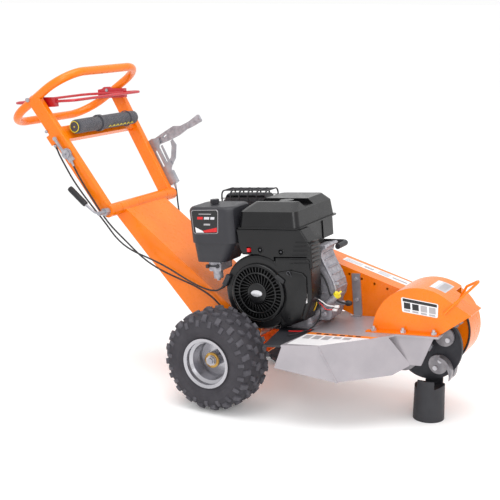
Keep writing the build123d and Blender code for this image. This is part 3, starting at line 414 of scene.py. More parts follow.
floor_bm = bmesh.new()
bmesh.ops.create_grid(floor_bm, x_segments=2, y_segments=2, size=160)
floor = from_bmesh("floor", floor_bm)
floor_material, _, floor_surface = shader("floor")
floor_surface.inputs["Base Color"].default_value = (0.96, 0.96, 0.96, 1)
floor_surface.inputs["Emission Color"].default_value = (1.0, 1.0, 1.0, 1)
floor_surface.inputs["Emission Strength"].default_value = 0.08
floor_surface.inputs["Roughness"].default_value = 0.9
floor.data.materials.append(floor_material)
floor.location.z = -0.0005

# ---------------------------------------------------------------- tyres

tread_rows = [
    # side offset, half width, half length, height, blocks, phase, skew; metres
    (-0.017, 0.0110, 0.0125, 0.0095, 19, 0.00, 0.30),
    (0.017, 0.0110, 0.0125, 0.0095, 19, 0.50, -0.30),
    (-0.048, 0.0110, 0.0108, 0.0110, 19, 0.35, -0.45),
    (0.048, 0.0110, 0.0108, 0.0110, 19, 0.85, 0.45),
    (-0.0775, 0.0125, 0.0115, 0.0118, 19, 0.85, 0.15),
    (0.0775, 0.0125, 0.0115, 0.0118, 19, 0.35, -0.15),
    (-0.0905, 0.0050, 0.0085, 0.0062, 19, 0.35, 0.0),
    (0.0905, 0.0050, 0.0085, 0.0062, 19, 0.85, 0.0),
]
knob_root = -0.003
knob_top_share = 0.80
# side offset, radius
carcass = [(0.0000, 0.1935), (0.030, 0.1925), (0.060, 0.1885), (0.078, 0.181), (0.090, 0.169),
           (0.0965, 0.146)]


def carcass_point(w):
    """The carcass radius and its outward lean at a side offset."""
    for (w0, r0), (w1, r1) in zip(carcass, carcass[1:]):
        if abs(w) <= w1:
            t = (abs(w) - w0) / (w1 - w0)
            lean = atan2(r0 - r1, w1 - w0)
            return r0 + (r1 - r0) * t, lean * (1 if w > 0 else -1)
    return carcass[-1][1], pi / 2


def add_tread(bm, centre):
    """Adds every knob of the tread, each leaning with the carcass under it."""
    for offset, half_w, half_l, height, count, phase, skew in tread_rows:
        for k in range(count):
            middle = 2 * pi * (k + phase) / count
            corners = []
            for lift, share in ((knob_root, 1.0), (height, knob_top_share)):
                for sw, sl in BOX_SIDES:
                    w = offset + sw * half_w * share
                    r, lean = carcass_point(w)
                    a = middle + (sl * half_l * share + skew * sw * half_w) / r
                    r, w = r + lift * cos(lean), w + lift * sin(lean)
                    corners.append(bm.verts.new(centre + Vector((r * cos(a), w, r * sin(a)))))
            for face in BOX_FACES:
                bm.faces.new([corners[i] for i in face])


# radius, side offset, from the bead to the crown
tyre_section = [(0.0918, 0.0745), (0.0918, 0.0825), (0.1035, 0.0838), (0.1075, 0.0865),
                (0.1130, 0.0915), (0.1170, 0.0935), (0.1190, 0.0958), (0.1215, 0.0945),
                (0.1300, 0.0958), (0.1460, 0.0965), (0.1490, 0.0972), (0.1520, 0.0955),
                (0.1620, 0.0925), (0.1690, 0.0900), (0.1770, 0.0830), (0.1835, 0.0735),
                (0.1885, 0.0600), (0.1912, 0.0440), (0.1927, 0.0260), (0.1935, 0.0)]
tyre_profile = tyre_section + [(r, -w) for r, w in reversed(tyre_section[:-1])]

for wheel, flip in (("right", -1), ("left", 1)):
    hub = Vector(joints[f"wheel_{wheel}_spin"]["pos_m"])
    bm = bmesh.new()
    add_lathe(bm, tyre_profile, hub, 120)
    carcass_object = from_bmesh(f"tyre_carcass_{wheel}", bm)
    finish_piece(carcass_object, f"wheel_{wheel}", tyre_rubber, 50, Matrix())
    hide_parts(f"tyre_{wheel}")
    bm = bmesh.new()
    add_tread(bm, hub)
    tread = bevel(from_bmesh(f"tyre_tread_{wheel}", bm), 0.0012, 2)
    finish_piece(tread, f"wheel_{wheel}", tread_rubber, 40, Matrix())

    # Zinc-plated bearing ring on the hub barrel, and the valve's rubber cap
    bm = bmesh.new()
    face_y = flip * 0.0405
    add_lathe(bm, [(0.020, face_y), (0.0205, face_y + flip * 0.0012), (0.029, face_y + flip * 0.0012),
                   (0.0312, face_y), (0.0312, face_y - flip * 0.007), (0.0308, face_y - flip * 0.008),
                   (0.020, face_y - flip * 0.001)], hub, 48, closed=True)
    finish_piece(from_bmesh(f"hub_ring_{wheel}", bm), f"wheel_{wheel}", gold_zinc, 40,
                 Matrix())
    bm = bmesh.new()
    valve = hub + Vector((0.033, flip * 0.030, 0.050))
    add_lathe(bm, [(0.0, flip * 0.016), (0.004, flip * 0.0155), (0.0062, flip * 0.013),
                   (0.0065, flip * 0.004), (0.0085, flip * 0.002), (0.0088, -flip * 0.010),
                   (0.0105, -flip * 0.020), (0.0, -flip * 0.020)], valve, 24)
    finish_piece(from_bmesh(f"valve_cap_{wheel}", bm), f"wheel_{wheel}", black_rubber,
                 40, Matrix())

# ---------------------------------------------------------------- crossbar pad

pad_low, pad_high = level_box("crossbar_pad")
pad_middle = (pad_low + pad_high) / 2
pad_radius = (pad_high.x - pad_low.x) / 2
pad_half = (pad_high.y - pad_low.y) / 2

pad_cover, pad_tree, pad_surface = shader("pad_cover")
weave = pad_tree.nodes.new("ShaderNodeTexWave")
weave.inputs["Scale"].default_value = 260
weave.bands_direction = "Y"
weave_cross = pad_tree.nodes.new("ShaderNodeTexWave")
weave_cross.inputs["Scale"].default_value = 260
weave_cross.bands_direction = "DIAGONAL"
pad_place = pad_tree.nodes.new("ShaderNodeTexCoord")
threads = pad_tree.nodes.new("ShaderNodeMath")
threads.operation = "ADD"
pad_tree.links.new(pad_place.outputs["Object"], weave.inputs["Vector"])
pad_tree.links.new(pad_place.outputs["Object"], weave_cross.inputs["Vector"])
pad_tree.links.new(weave.outputs["Fac"], threads.inputs[0])
pad_tree.links.new(weave_cross.outputs["Fac"], threads.inputs[1])
pad_tree.links.new(ramp(pad_tree, noise(pad_tree, 22, 5.0), linear(66, 67, 76), linear(52, 53, 62)),
                   pad_surface.inputs["Base Color"])
pad_surface.inputs["Roughness"].default_value = 0.82
pad_surface.inputs["Sheen Weight"].default_value = 0.25
bump(pad_tree, pad_surface, threads.outputs["Value"], 0.0004)
frame["nodes"]["crossbar_pad"].data.materials.clear()
frame["nodes"]["crossbar_pad"].data.materials.append(pad_cover)


pad_voxel = 0.005
pad_pressure = 4.0
pad_frames = 20
pad_move = 0.005
pad_slack = 0.0046
pad_waists = (-0.060, -0.035, 0.150)


def swell(obj, cap):
    """Blows a closed shape up as sewn cloth, moving no point by more than the cap."""
    remesh = obj.modifiers.new("remesh", "REMESH")
    remesh.mode = "VOXEL"
    remesh.voxel_size = pad_voxel
    apply_modifiers(obj)
    start = [v.co.copy() for v in obj.data.vertices]
    cloth = obj.modifiers.new("cloth", "CLOTH")
    cloth.settings.use_pressure = True
    cloth.settings.uniform_pressure_force = pad_pressure
    cloth.settings.effector_weights.gravity = 0.0
    cloth.settings.tension_stiffness = 25
    cloth.settings.bending_stiffness = 2.0
    cloth.point_cache.frame_start = 1
    cloth.point_cache.frame_end = pad_frames
    for step in range(1, pad_frames + 1):
        bpy.context.scene.frame_set(step)
    apply_modifiers(obj)
    bpy.context.scene.frame_set(1)
    for vertex, before in zip(obj.data.vertices, start):
        move = vertex.co - before
        if move.length > cap:
            vertex.co = before + move.normalized() * cap
    return obj


def pad_profile():
    """The pad's half section along its length: waisted where its strap pulls it in."""
    rows = []
    for k in range(61):
        y = -pad_half + 2 * pad_half * k / 60
        edge = min(1.0, (pad_half - abs(y)) / 0.010)
        waist = 0.0022 * sum(max(0.0, 1 - abs(y - line) / 0.006) for line in pad_waists)
        rows.append(((pad_radius - pad_slack) * (1 - 0.16 * (1 - edge) ** 2) - waist, y))
    return rows


bm = bmesh.new()
pad_line = [(0.0, -pad_half)] + pad_profile() + [(0.0, pad_half)]
add_lathe(bm, pad_line, pad_middle - Vector((0, pad_middle.y, 0)), 40)
bmesh.ops.remove_doubles(bm, verts=bm.verts, dist=0.0002)
pad = swell(from_bmesh("crossbar_pad_cover", bm), pad_move)
subdivide = pad.modifiers.new("smooth", "SUBSURF")
subdivide.levels = subdivide.render_levels = 1
apply_modifiers(pad)
finish_piece(pad, "handle", pad_cover, 60)
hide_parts("crossbar_pad")

# Sewn band, end disc ring and plain chevrons on the pad's cover
bm = bmesh.new()
for y0, y1, rise in ((-0.058, -0.037, 0.0010), (0.148, 0.153, 0.0004)):
    reach = pad_radius + rise
    add_lathe(bm, [(reach - 0.004, y0), (reach, y0 + 0.002), (reach, y1 - 0.002), (reach - 0.004, y1)],
              Vector((pad_middle.x, 0, pad_middle.z)), 40)
finish_piece(from_bmesh("pad_bands", bm), "handle", pad_cover, 60)

bm = bmesh.new()
for r0, r1 in ((0.0215, 0.0240), (0.0, 0.0030)):
    add_lathe(bm, [(r0, -pad_half - 0.0004), (r0, -pad_half - 0.0012), (r1, -pad_half - 0.0012),
                   (r1, -pad_half - 0.0004)], Vector((pad_middle.x, 0, pad_middle.z)), 40, closed=True)
mark_angle = radians(-32)
out = Vector((cos(mark_angle), 0, sin(mark_angle)))
up = Vector((-sin(mark_angle), 0, cos(mark_angle)))
for k in range(7):
    y = -0.005 + k * 0.027
    for lean in (-1, 1):
        turn = Matrix((out.cross(up), up, out)).transposed() @ Matrix.Rotation(lean * 0.7, 3, "Z")
        add_block(bm, Vector((pad_middle.x, y + lean * 0.0042, pad_middle.z)) + out * (pad_radius + 0.0004),
                  (0.0125, 0.0028, 0.0010), turn)
finish_piece(from_bmesh("pad_marks", bm), "handle", yellow_plastic, 40)

# ---------------------------------------------------------------- recoil starter

crank = level_joint("crank_spin")
blower_face = level_box("blower_housing")[0].y
recoil_axis = Vector((crank.x, blower_face, crank.z))


def add_spokes(bm, count, inner, outer, width, low, high, lean=0.0, first=0.0):
    """Adds straight ribs between two radii of the recoil cover; y runs from low to high."""
    for k in range(count):
        a = 2 * pi * (k + first) / count
        turn = Matrix.Rotation(-a - lean, 3, "Y")
        middle = recoil_axis + Vector((cos(a), 0, sin(a))) * (inner + outer) / 2
        add_block(bm, middle + Vector((0, (low + high) / 2, 0)), (outer - inner, high - low, width), turn)


bm = bmesh.new()
add_lathe(bm, [(0.118, 0.0), (0.118, -0.007), (0.1155, -0.0115), (0.111, -0.0142), (0.1065, -0.0145),
               (0.1045, -0.0130), (0.1040, -0.0060), (0.1040, 0.0)], recoil_axis, 96)
add_lathe(bm, [(0.084, -0.004), (0.084, -0.0135), (0.0825, -0.0152), (0.079, -0.0156), (0.0775, -0.0140),
               (0.0775, -0.004)], recoil_axis, 96)
add_lathe(bm, [(0.042, -0.004), (0.042, -0.0145), (0.040, -0.0170), (0.034, -0.0185), (0.0, -0.0190)],
          recoil_axis, 64)
finish_piece(from_bmesh("recoil_shell", bm), "frame", engine_plastic, 40)
bm = bmesh.new()
add_spokes(bm, 44, 0.083, 0.1055, 0.0042, -0.0135, -0.003)
add_spokes(bm, 30, 0.041, 0.0785, 0.0036, -0.0140, -0.003, lean=0.35, first=0.5)
recoil_ribs = bevel(from_bmesh("recoil_ribs", bm), 0.0007, 1)
finish_piece(recoil_ribs, "frame", engine_plastic, 40)
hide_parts("recoil_cover")

# Near-black, barely glossy material used as painted shade inside openings and recesses.
void_black = finish_material("void_black", linear(14, 14, 15), linear(9, 9, 10), (0.7, 0.9), 700,
                             0.0002, specular=0.1)
# A dark disc behind the recoil cover's slots: painted shade seen through the openings.
bm = bmesh.new()
add_lathe(bm, [(0.0, 0.0), (0.0, -0.0022), (0.1045, -0.0022), (0.1045, 0.0)], recoil_axis, 64)
finish_piece(from_bmesh("recoil_shade_disc", bm), "frame", void_black, 40)

bm = bmesh.new()
add_lathe(bm, [(0.0, -0.0206), (0.0230, -0.0204), (0.0245, -0.0198), (0.0250, -0.0186)], recoil_axis,
          48, squash=(1.0, 0.52))
finish_piece(from_bmesh("recoil_badge", bm), "frame", silver_label, 40)

bm = bmesh.new()
grip_turn = Matrix.Rotation(radians(35), 3, "Y")
grip_middle = Vector((crank.x + 0.104, blower_face - 0.0085, crank.z + 0.060))
add_block(bm, grip_middle, (0.046, 0.015, 0.018), grip_turn, 0.15)
add_block(bm, grip_middle + grip_turn @ Vector((0, 0, -0.014)), (0.020, 0.012, 0.014), grip_turn, 0.3)
finish_piece(bevel(from_bmesh("starter_grip", bm), 0.004, 3), "frame", black_rubber, 50)
bm = bmesh.new()
eye = grip_middle + Vector((0.040, -0.004, 0.026))
ring = [eye + Vector((0.007 * cos(a), 0, 0.007 * sin(a)))
        for a in [2 * pi * k / 20 for k in range(17)]]
add_pipe(bm, ring, 0.0017, 8)
add_pipe(bm, [eye + Vector((0.007, 0, 0)), eye + Vector((0.009, 0.004, -0.008)),
              eye + Vector((0.009, 0.006, -0.016))], 0.0015, 8)
finish_piece(from_bmesh("starter_spring", bm), "frame", cast_iron, 60)

# ---------------------------------------------------------------- control cables


def quadratic(points, steps=8):
    """A smooth line that leaves the first point, ends at the last and rounds every corner."""
    points = [Vector(p) for p in points]
    line = [points[0]]
    for k in range(1, len(points) - 1):
        start = points[0] if k == 1 else (points[k - 1] + points[k]) / 2
        end = points[-1] if k == len(points) - 2 else (points[k] + points[k + 1]) / 2
        for j in range(1, steps + 1):
            t = j / steps
            line.append(start * (1 - t) ** 2 + points[k] * 2 * t * (1 - t) + end * t * t)
    return line


cable_radius = 0.0035
console_top = 0.640
opc_route = [
    (-0.744, -0.263, 1.060), (-0.737, -0.262, 1.030), (-0.712, -0.262, 0.982),
    (-0.672, -0.262, 0.910), (-0.620, -0.260, 0.837), (-0.570, -0.257, 0.775),
    (-0.536, -0.250, 0.728), (-0.495, -0.235, 0.655), (-0.440, -0.220, 0.606),
    (-0.360, -0.205, 0.571), (-0.278, -0.195, 0.532), (-0.200, -0.190, 0.486),
    (-0.125, -0.194, 0.455), (-0.070, -0.200, 0.444), (-0.028, -0.208, 0.451),
    (0.000, -0.2135, 0.4723),
]
throttle_route = [
    (-0.659, -0.273, 0.9875), (-0.641, -0.273, 0.945), (-0.608, -0.268, 0.881),
    (-0.572, -0.262, 0.818), (-0.546, -0.255, 0.768), (-0.516, -0.240, 0.712),
    (-0.466, -0.214, 0.644), (-0.402, -0.194, 0.568), (-0.330, -0.184, 0.520),
    (-0.250, -0.175, 0.485), (-0.172, -0.170, 0.455), (-0.104, -0.165, 0.418),
    (-0.062, -0.158, 0.374), (-0.030, -0.1536, 0.336),
]
brake_route = [
    (-0.506, 0.253, 0.813), (-0.499, 0.251, 0.783), (-0.496, 0.246, 0.735), (-0.484, 0.234, 0.676),
    (-0.450, 0.216, 0.612), (-0.392, 0.199, 0.552), (-0.322, 0.184, 0.500), (-0.248, 0.174, 0.452),
    (-0.172, 0.167, 0.410), (-0.100, 0.162, 0.370), (-0.038, 0.157, 0.328), (0.020, 0.1536, 0.285),
]
for name, route in (("opc_cable", opc_route), ("throttle_cable", throttle_route),
                    ("brake_cable", brake_route)):
    line = [LEVEL @ p for p in quadratic(route)]
    cable = pipe(f"{name}_sheath", line, cable_radius, 14)
    for polygon in cable.data.polygons:
        polygon.use_smooth = True
    cable.data.set_sharp_from_angle(angle=radians(50))
    cable.data.materials.append(black_rubber)
    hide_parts(name)
    high = LEVEL @ Vector(route[2])
    low = LEVEL @ Vector(next(p for p in route if p[2] < console_top))
    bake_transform(cable)

# ---------------------------------------------------------------- cable ends


def sleeve(name, body, material, points, big=0.0062, small=0.0042):
    """A tapered strain relief around the first stretch of a cable."""
    start, towards = Vector(points[0]), Vector(points[1])
    run = (towards - start).normalized()
    stations = [(-0.004, big), (0.006, big), (0.007, big * 0.9), (0.012, big * 0.9), (0.013, big * 0.8),
                (0.019, big * 0.76), (0.0195, small)]
    obj = pipe(name, [start + run * s for s, _ in stations], [r for _, r in stations], 18)
    return finish_piece(obj, body, material, 30)


sleeve("opc_sleeve_top", "handle", black_rubber, opc_route[:2])
sleeve("opc_sleeve_low", "frame", black_rubber, opc_route[::-1][:2])
sleeve("throttle_sleeve_top", "handle", zinc_steel, throttle_route[:2], 0.0056)
sleeve("throttle_sleeve_low", "frame", black_rubber, throttle_route[::-1][:2])
sleeve("brake_sleeve_top", "handle", zinc_steel, brake_route[:2], 0.0058)
sleeve("brake_sleeve_low", "frame", black_rubber, brake_route[::-1][:2])

# ---------------------------------------------------------------- labels without words

cleaner_plane = ((0, -0.2272, 0), (1, 0, 0), (0, 0, 1))
panel = [(-0.112, 0.781), (0.002, 0.783), (0.008, 0.776), (0.000, 0.692), (-0.006, 0.687),
         (-0.106, 0.684), (-0.114, 0.690), (-0.118, 0.774)]
middle = Vector((sum(x for x, _ in panel), sum(z for _, z in panel))) / len(panel)


def inset(points, centre, share):
    """The points drawn in towards a centre."""
    return [(centre[0] + (x - centre[0]) * share, centre[1] + (z - centre[1]) * share)
            for x, z in points]


finish_piece(plate("cleaner_frame", panel, cleaner_plane, 0.0022, 0.0005), "frame",
             grey_label)
finish_piece(plate("cleaner_field", inset(panel, middle, 0.965), cleaner_plane, 0.0026), "frame",
             dark_label)
finish_piece(plate("cleaner_stripe_red", [(-0.070, 0.698), (-0.003, 0.712), (-0.004, 0.694),
                                          (-0.062, 0.691)], cleaner_plane, 0.0030), "frame",
             red_plastic)
finish_piece(plate("cleaner_stripe_white", [(-0.104, 0.712), (-0.072, 0.698), (-0.064, 0.691),
                                            (-0.102, 0.690)], cleaner_plane, 0.0030), "frame",
             white_label)
for k, (low, high, left, right, material) in enumerate((
        (0.744, 0.754, -0.092, -0.066, red_plastic), (0.744, 0.754, -0.060, -0.036, silver_label),
        (0.744, 0.754, -0.030, -0.012, silver_label), (0.720, 0.727, -0.064, -0.034, grey_label),
        (0.764, 0.767, -0.084, -0.026, grey_label))):
    finish_piece(plate(f"cleaner_mark_{k}", [(left, low), (right, low), (right + 0.002, high),
                                             (left + 0.002, high)], cleaner_plane, 0.0030),
                 "frame", material)

deck_plane = ((0, 0, 0.2950), (1, 0, 0), (0, 1, 0))
finish_piece(plate("deck_label", [(0.342, -0.352), (0.471, -0.344), (0.606, -0.226), (0.640, -0.192),
                                  (0.356, -0.188)], deck_plane, 0.0006), "frame",
             white_label)
finish_piece(plate("deck_label_band", [(0.353, -0.212), (0.622, -0.214), (0.642, -0.190),
                                       (0.357, -0.186)], deck_plane, 0.0009), "frame",
             warning_orange)
for k in range(6):
    left = 0.392 + 0.033 * k
    finish_piece(plate(f"deck_label_mark_{k}", [(left, -0.207), (left + 0.021, -0.207),
                                                (left + 0.021, -0.195), (left, -0.195)], deck_plane,
                       0.0012), "frame", dark_label)
for k in range(5):
    left = 0.362 + 0.040 * k
    depth = 0.050 if k < 3 else 0.030
    finish_piece(plate(f"deck_label_field_{k}", [(left, -0.222 - depth), (left + 0.030, -0.222 - depth),
                                                 (left + 0.030, -0.224), (left, -0.224)], deck_plane,
                       0.0009), "frame", grey_label)

hood_plane = ((0, -0.1050, 0), (1, 0, 0), (0, 0, 1))
hood_label = [(0.714, 0.434), (0.852, 0.415), (0.856, 0.411), (0.852, 0.364), (0.848, 0.361),
              (0.716, 0.377), (0.712, 0.381), (0.710, 0.430)]
finish_piece(plate("hood_label", hood_label, hood_plane, 0.0006), "frame", white_label)
finish_piece(plate("hood_label_band", [(0.716, 0.431), (0.851, 0.412), (0.851, 0.401), (0.716, 0.419)],
                   hood_plane, 0.0009), "frame", dark_label)
for k in range(4):
    left = 0.720 + 0.033 * k
    top = 0.415 - 0.0046 * k
    finish_piece(plate(f"hood_label_field_{k}", [(left, top - 0.024), (left + 0.026, top - 0.027),
                                                 (left + 0.026, top - 0.003), (left, top)],
                       hood_plane, 0.0009), "frame",
                 dark_label if k < 2 else grey_label)
    finish_piece(plate(f"hood_label_line_{k}", [(left, top - 0.034), (left + 0.024, top - 0.037),
                                                (left + 0.024, top - 0.030), (left, top - 0.027)],
                       hood_plane, 0.0009), "frame", grey_label)


hood_centre = Vector((0.775, 0, 0.282))
hood_radius = 0.190


def curved_label(name, start, end, y0, y1, lift, material):
    """A label laid on the hood's round top, between two angles and two sides."""
    bm = bmesh.new()
    rows = []
    for k in range(9):
        a = radians(start + (end - start) * k / 8)
        for reach in (hood_radius - 0.0005, hood_radius + lift):
            for y in (y0, y1):
                rows.append(bm.verts.new(hood_centre + Vector((reach * cos(a), y, reach * sin(a)))))
    for k in range(8):
        here, there = rows[4 * k:4 * k + 4], rows[4 * k + 4:4 * k + 8]
        for i, j in ((0, 1), (1, 3), (3, 2), (2, 0)):
            bm.faces.new((here[i], here[j], there[j], there[i]))
    bm.faces.new((rows[0], rows[1], rows[3], rows[2]))
    bm.faces.new((rows[-4], rows[-2], rows[-1], rows[-3]))
    return finish_piece(from_bmesh(name, bm), "frame", material, 20)


curved_label("hood_top_label", 80, 60, -0.062, 0.042, 0.0006, silver_label)
curved_label("hood_top_label_field", 71, 62, -0.052, 0.032, 0.0009, grey_label)
curved_label("hood_top_label_band", 79, 74, -0.058, 0.038, 0.0009, white_label)

guard_rear = 0.1948
guard_fall = 0.361
guard_slope = Vector((1, 0, -guard_fall)).normalized()
guard_plane = (Vector((guard_rear, 0, 0.5685)), guard_slope, (0, 1, 0))


def along_guard(x):
    """The distance down the guard's sloping top at a level x."""
    return (x - guard_rear) * (1 + guard_fall ** 2) ** 0.5


finish_piece(plate("guard_label", [(along_guard(0.352), 0.160), (along_guard(0.632), 0.160),
                                   (along_guard(0.632), 0.215), (along_guard(0.352), 0.204)],
                   guard_plane, 0.0007), "frame", white_label)
for k, (left, right, low, high) in enumerate(((0.360, 0.430, 0.166, 0.196), (0.440, 0.480, 0.172, 0.190),
                                              (0.500, 0.548, 0.168, 0.206), (0.560, 0.622, 0.176, 0.190))):
    finish_piece(plate(f"guard_label_field_{k}", [(along_guard(left), low), (along_guard(right), low),
                                                  (along_guard(right), high), (along_guard(left), high)],
                       guard_plane, 0.0010), "frame",
                 grey_label if k % 2 else silver_label)

blower_plane = ((0, -0.2062, 0), (1, 0, 0), (0, 0, 1))
finish_piece(plate("blower_tag", [(0.336, 0.451), (0.366, 0.455), (0.364, 0.418), (0.337, 0.412)],
                   blower_plane, 0.0008, 0.0002), "frame", white_label)

# ---------------------------------------------------------------- engine trim

# A dark plate over the deck's rear: partly a real black plate, partly painted shadow cast by the engine onto the
# deck.
deck_plate_and_shadow_outline = [(0.116, -0.143), (0.213, -0.1515), (0.2595, -0.3905), (0.3255, -0.3780), (0.3300, -0.3400),
             (0.3560, -0.1860), (0.3560, -0.1430)]
finish_piece(plate("deck_plate_and_painted_shadow", deck_plate_and_shadow_outline, ((0, 0, 0.2865), (1, 0, 0), (0, 1, 0)), 0.0092, 0.0004),
             "frame", black_paint)

cover_screw_places = ((0.173, 0.622), (0.264, 0.616))
bm = bmesh.new()
for x, z in cover_screw_places:
    add_lathe(bm, [(0.0135, -0.2055), (0.0135, -0.2072), (0.0118, -0.2085), (0.0100, -0.2085),
                   (0.0092, -0.2072), (0.0092, -0.2055)], Vector((x, 0, z)), 32, closed=True)
finish_piece(from_bmesh("cover_screw_rims", bm), "frame", engine_plastic, 40)
# Near-black discs at the bottom of the screw wells: painted shade in each recess.
bm = bmesh.new()
for x, z in cover_screw_places:
    add_lathe(bm, [(0.0092, -0.2060), (0.0, -0.2060)], Vector((x, 0, z)), 32)
finish_piece(from_bmesh("cover_screw_wells", bm), "frame", void_black, 40)
bm = bmesh.new()
for x, z in cover_screw_places:
    add_lathe(bm, [(0.0052, -0.2060), (0.0052, -0.2078), (0.0035, -0.2084), (0.0, -0.2084)],
              Vector((x, 0, z)), 6)
finish_piece(from_bmesh("cover_screws", bm), "frame", cast_iron, 20)

bm = bmesh.new()
for k in range(6):
    z = 0.574 + 0.0165 * k
    start = 0.300 + 0.006 * k
    line = [(start, -0.2045, z), (0.372, -0.2050, z + 0.002), (0.3845, -0.2030, z + 0.0025),
            (0.3925, -0.1960, z + 0.003), (0.3945, -0.1840, z + 0.003), (0.3945, -0.1400, z + 0.001)]
    add_pipe(bm, smooth_path(line, 5), 0.0034, 8)
finish_piece(from_bmesh("cover_ridges", bm), "frame", engine_plastic, 60)

# A raised shroud beside the recoil cover, its edges folded back
bm = bmesh.new()
outline = [(0.300, 0.545), (0.352, 0.536), (0.368, 0.520), (0.366, 0.440), (0.338, 0.362),
           (0.286, 0.322), (0.262, 0.330)]
shroud_arc = 0.124
arc = [(0.152 + shroud_arc * cos(radians(a)), 0.450 + shroud_arc * sin(radians(a)))
       for a in range(-44, 45, 8)]
add_prism(bm, [(x, 0, z) for x, z in outline + arc], (0, -0.2050, 0), (0, -0.0085, 0))
finish_piece(bevel(from_bmesh("blower_shroud", bm), 0.0060, 3, 50), "frame",
             engine_plastic, 50)

# The plug's wire and boot, loose wires and their plugs
plug_line = smooth_path([(0.350, -0.088, 0.540), (0.384, -0.096, 0.500), (0.402, -0.098, 0.462),
                         (0.412, -0.096, 0.425), (0.440, -0.076, 0.394), (0.462, -0.044, 0.380),
                         (0.462, -0.030, 0.378)], 8)
finish_piece(pipe("plug_wire", plug_line, 0.0038, 12), "frame", black_rubber, 60)
boot_line = [Vector((0.446, -0.030, 0.378)) + Vector((0.006, 0, 0)) * k for k in range(5)]
finish_piece(pipe("plug_boot", boot_line, [0.010, 0.0115, 0.0115, 0.0095, 0.0070], 18), "frame",
             black_rubber, 40)

for name, material, radius, line in (
        ("wire_yellow_a", wire_yellow, 0.0024, [(0.055, -0.186, 0.500), (0.044, -0.192, 0.458),
                                                (0.032, -0.190, 0.420), (0.018, -0.188, 0.384)]),
        ("wire_brown_a", wire_brown, 0.0022, [(0.049, -0.186, 0.500), (0.037, -0.190, 0.452),
                                              (0.026, -0.188, 0.412), (0.010, -0.186, 0.380)]),
        ("wire_yellow_b", wire_yellow, 0.0022, [(0.352, -0.134, 0.432), (0.372, -0.142, 0.412),
                                                (0.366, -0.146, 0.384), (0.344, -0.140, 0.356)]),
        ("wire_white_b", white_label, 0.0020, [(0.360, -0.128, 0.422), (0.392, -0.136, 0.408),
                                               (0.412, -0.130, 0.392), (0.440, -0.118, 0.386)]),
        ("wire_red_b", red_plastic, 0.0020, [(0.352, -0.130, 0.412), (0.386, -0.136, 0.398),
                                             (0.404, -0.130, 0.376), (0.430, -0.116, 0.372)]),
        ("wire_black_b", black_rubber, 0.0030, [(0.346, -0.138, 0.440), (0.382, -0.146, 0.402),
                                                (0.388, -0.150, 0.356), (0.360, -0.160, 0.312),
                                                (0.330, -0.200, 0.2985), (0.298, -0.262, 0.2985)]),
        ("wire_red_c", red_plastic, 0.0024, [(0.352, -0.166, 0.300), (0.330, -0.186, 0.2980),
                                             (0.300, -0.196, 0.2980), (0.270, -0.200, 0.2980)]),
):
    finish_piece(pipe(name, smooth_path(line, 8), radius, 10), "frame", material, 60)
bm = bmesh.new()
for place in ((0.446, -0.117, 0.386), (0.436, -0.115, 0.372)):
    add_block(bm, place, (0.018, 0.012, 0.010))
finish_piece(bevel(from_bmesh("wire_plugs", bm), 0.0016, 2), "frame", white_label, 40)

# The head's casting: a waisted block with a rolled front edge, a boss and short fins
head_edge = [(0.398, 0.612), (0.381, 0.600), (0.375, 0.577), (0.383, 0.553), (0.397, 0.524),
             (0.411, 0.496), (0.422, 0.468), (0.427, 0.440), (0.420, 0.408), (0.406, 0.386)]
bm = bmesh.new()
head_outline = [(0.322, 0.596), (0.338, 0.611), (0.392, 0.620)] + head_edge + [
    (0.404, 0.340), (0.392, 0.318), (0.332, 0.316)]
add_prism(bm, [(x, -0.080, z) for x, z in head_outline], (0, 0, 0), (0, 0.112, 0))
for x, z in head_edge[1:-1]:
    add_block(bm, (x - 0.022, -0.022, z + 0.006), (0.054, 0.086, 0.0045))
rolled = smooth_path([(x, -0.0815, z) for x, z in head_edge], 4)
add_pipe(bm, rolled, 0.0052, 12)
add_pipe(bm, [Vector(p) for p in ((0.412, -0.070, 0.462), (0.436, -0.074, 0.466),
                                  (0.441, -0.075, 0.467))], [0.0085, 0.0078, 0.0050], 16)
add_pipe(bm, [Vector((x, -0.030, 0.378)) for x in (0.396, 0.428, 0.429, 0.438, 0.439, 0.452)],
         [0.0085, 0.0085, 0.0100, 0.0100, 0.0062, 0.0062], 12)
head_casting = bevel(from_bmesh("head_casting", bm), 0.0022, 3, 35)
finish_piece(head_casting, "frame", cast_aluminium, 40)
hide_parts("cylinder_head")

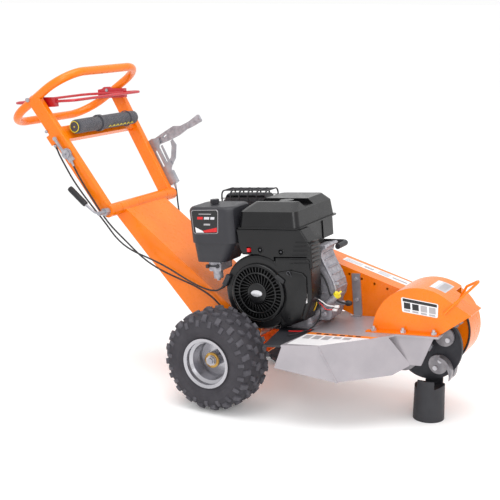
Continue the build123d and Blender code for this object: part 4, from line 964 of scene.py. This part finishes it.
# Cast bosses, short ribs and bolts on the head's near face
head_bosses = ((0.372, 0.345, 0.015), (0.402, 0.382, 0.011), (0.350, 0.584, 0.010))
bm = bmesh.new()
for x, z, r in head_bosses:
    add_lathe(bm, [(r, -0.083), (r, -0.092), (r * 0.72, -0.096), (0.0, -0.096)], Vector((x, 0, z)), 24)
for k in range(4):
    z = 0.430 + 0.030 * k
    add_block(bm, (0.376 + 0.002 * k - 0.0012 * k * k, -0.0820, z), (0.052, 0.006, 0.004))
finish_piece(bevel(from_bmesh("head_bosses", bm), 0.0012, 2), "frame",
             cast_aluminium, 40)
bm = bmesh.new()
for x, z, _ in head_bosses:
    add_lathe(bm, [(0.0068, -0.0955), (0.0068, -0.1015), (0.0058, -0.1025), (0.0, -0.1025)],
              Vector((x, 0, z)), 6)
finish_piece(from_bmesh("head_bolts", bm), "frame", zinc_steel, 20)

# ---------------------------------------------------------------- guard and handle trim

guard_front = Vector((0.747, 0.0960, 0.262))
trim_reach = 0.1585
trim_line = [guard_front + Vector((trim_reach * cos(radians(a)), 0, trim_reach * sin(radians(a))))
             for a in range(-78, 47, 4)]
finish_piece(pipe("guard_edge_trim", trim_line, 0.0042, 12), "frame", black_rubber, 60)

grip_start = Vector((-0.590, -0.297, 0.811))
grip_run = Vector((-48, 0, 44)).normalized()
bm = bmesh.new()
for k in range(15):
    here = grip_start + grip_run * (0.013 + 0.0056 * k)
    add_pipe(bm, [here, here + grip_run * 0.0012, here + grip_run * 0.0024, here + grip_run * 0.0036],
             [0.0116, 0.0129, 0.0129, 0.0116], 28)
finish_piece(from_bmesh("clamp_grip_ribs", bm), "height_clamp", black_rubber, 30)

bm = bmesh.new()
for x, y, z in ((-0.7660, -0.2880, 1.1180), (-0.7300, -0.2838, 1.0560)):
    add_lathe(bm, [(0.0062, 0.004), (0.0062, -0.002), (0.0045, -0.0042), (0.0, -0.0048)],
              Vector((x, y, z)), 20)
finish_piece(from_bmesh("rail_bolts", bm), "handle", zinc_steel, 40)
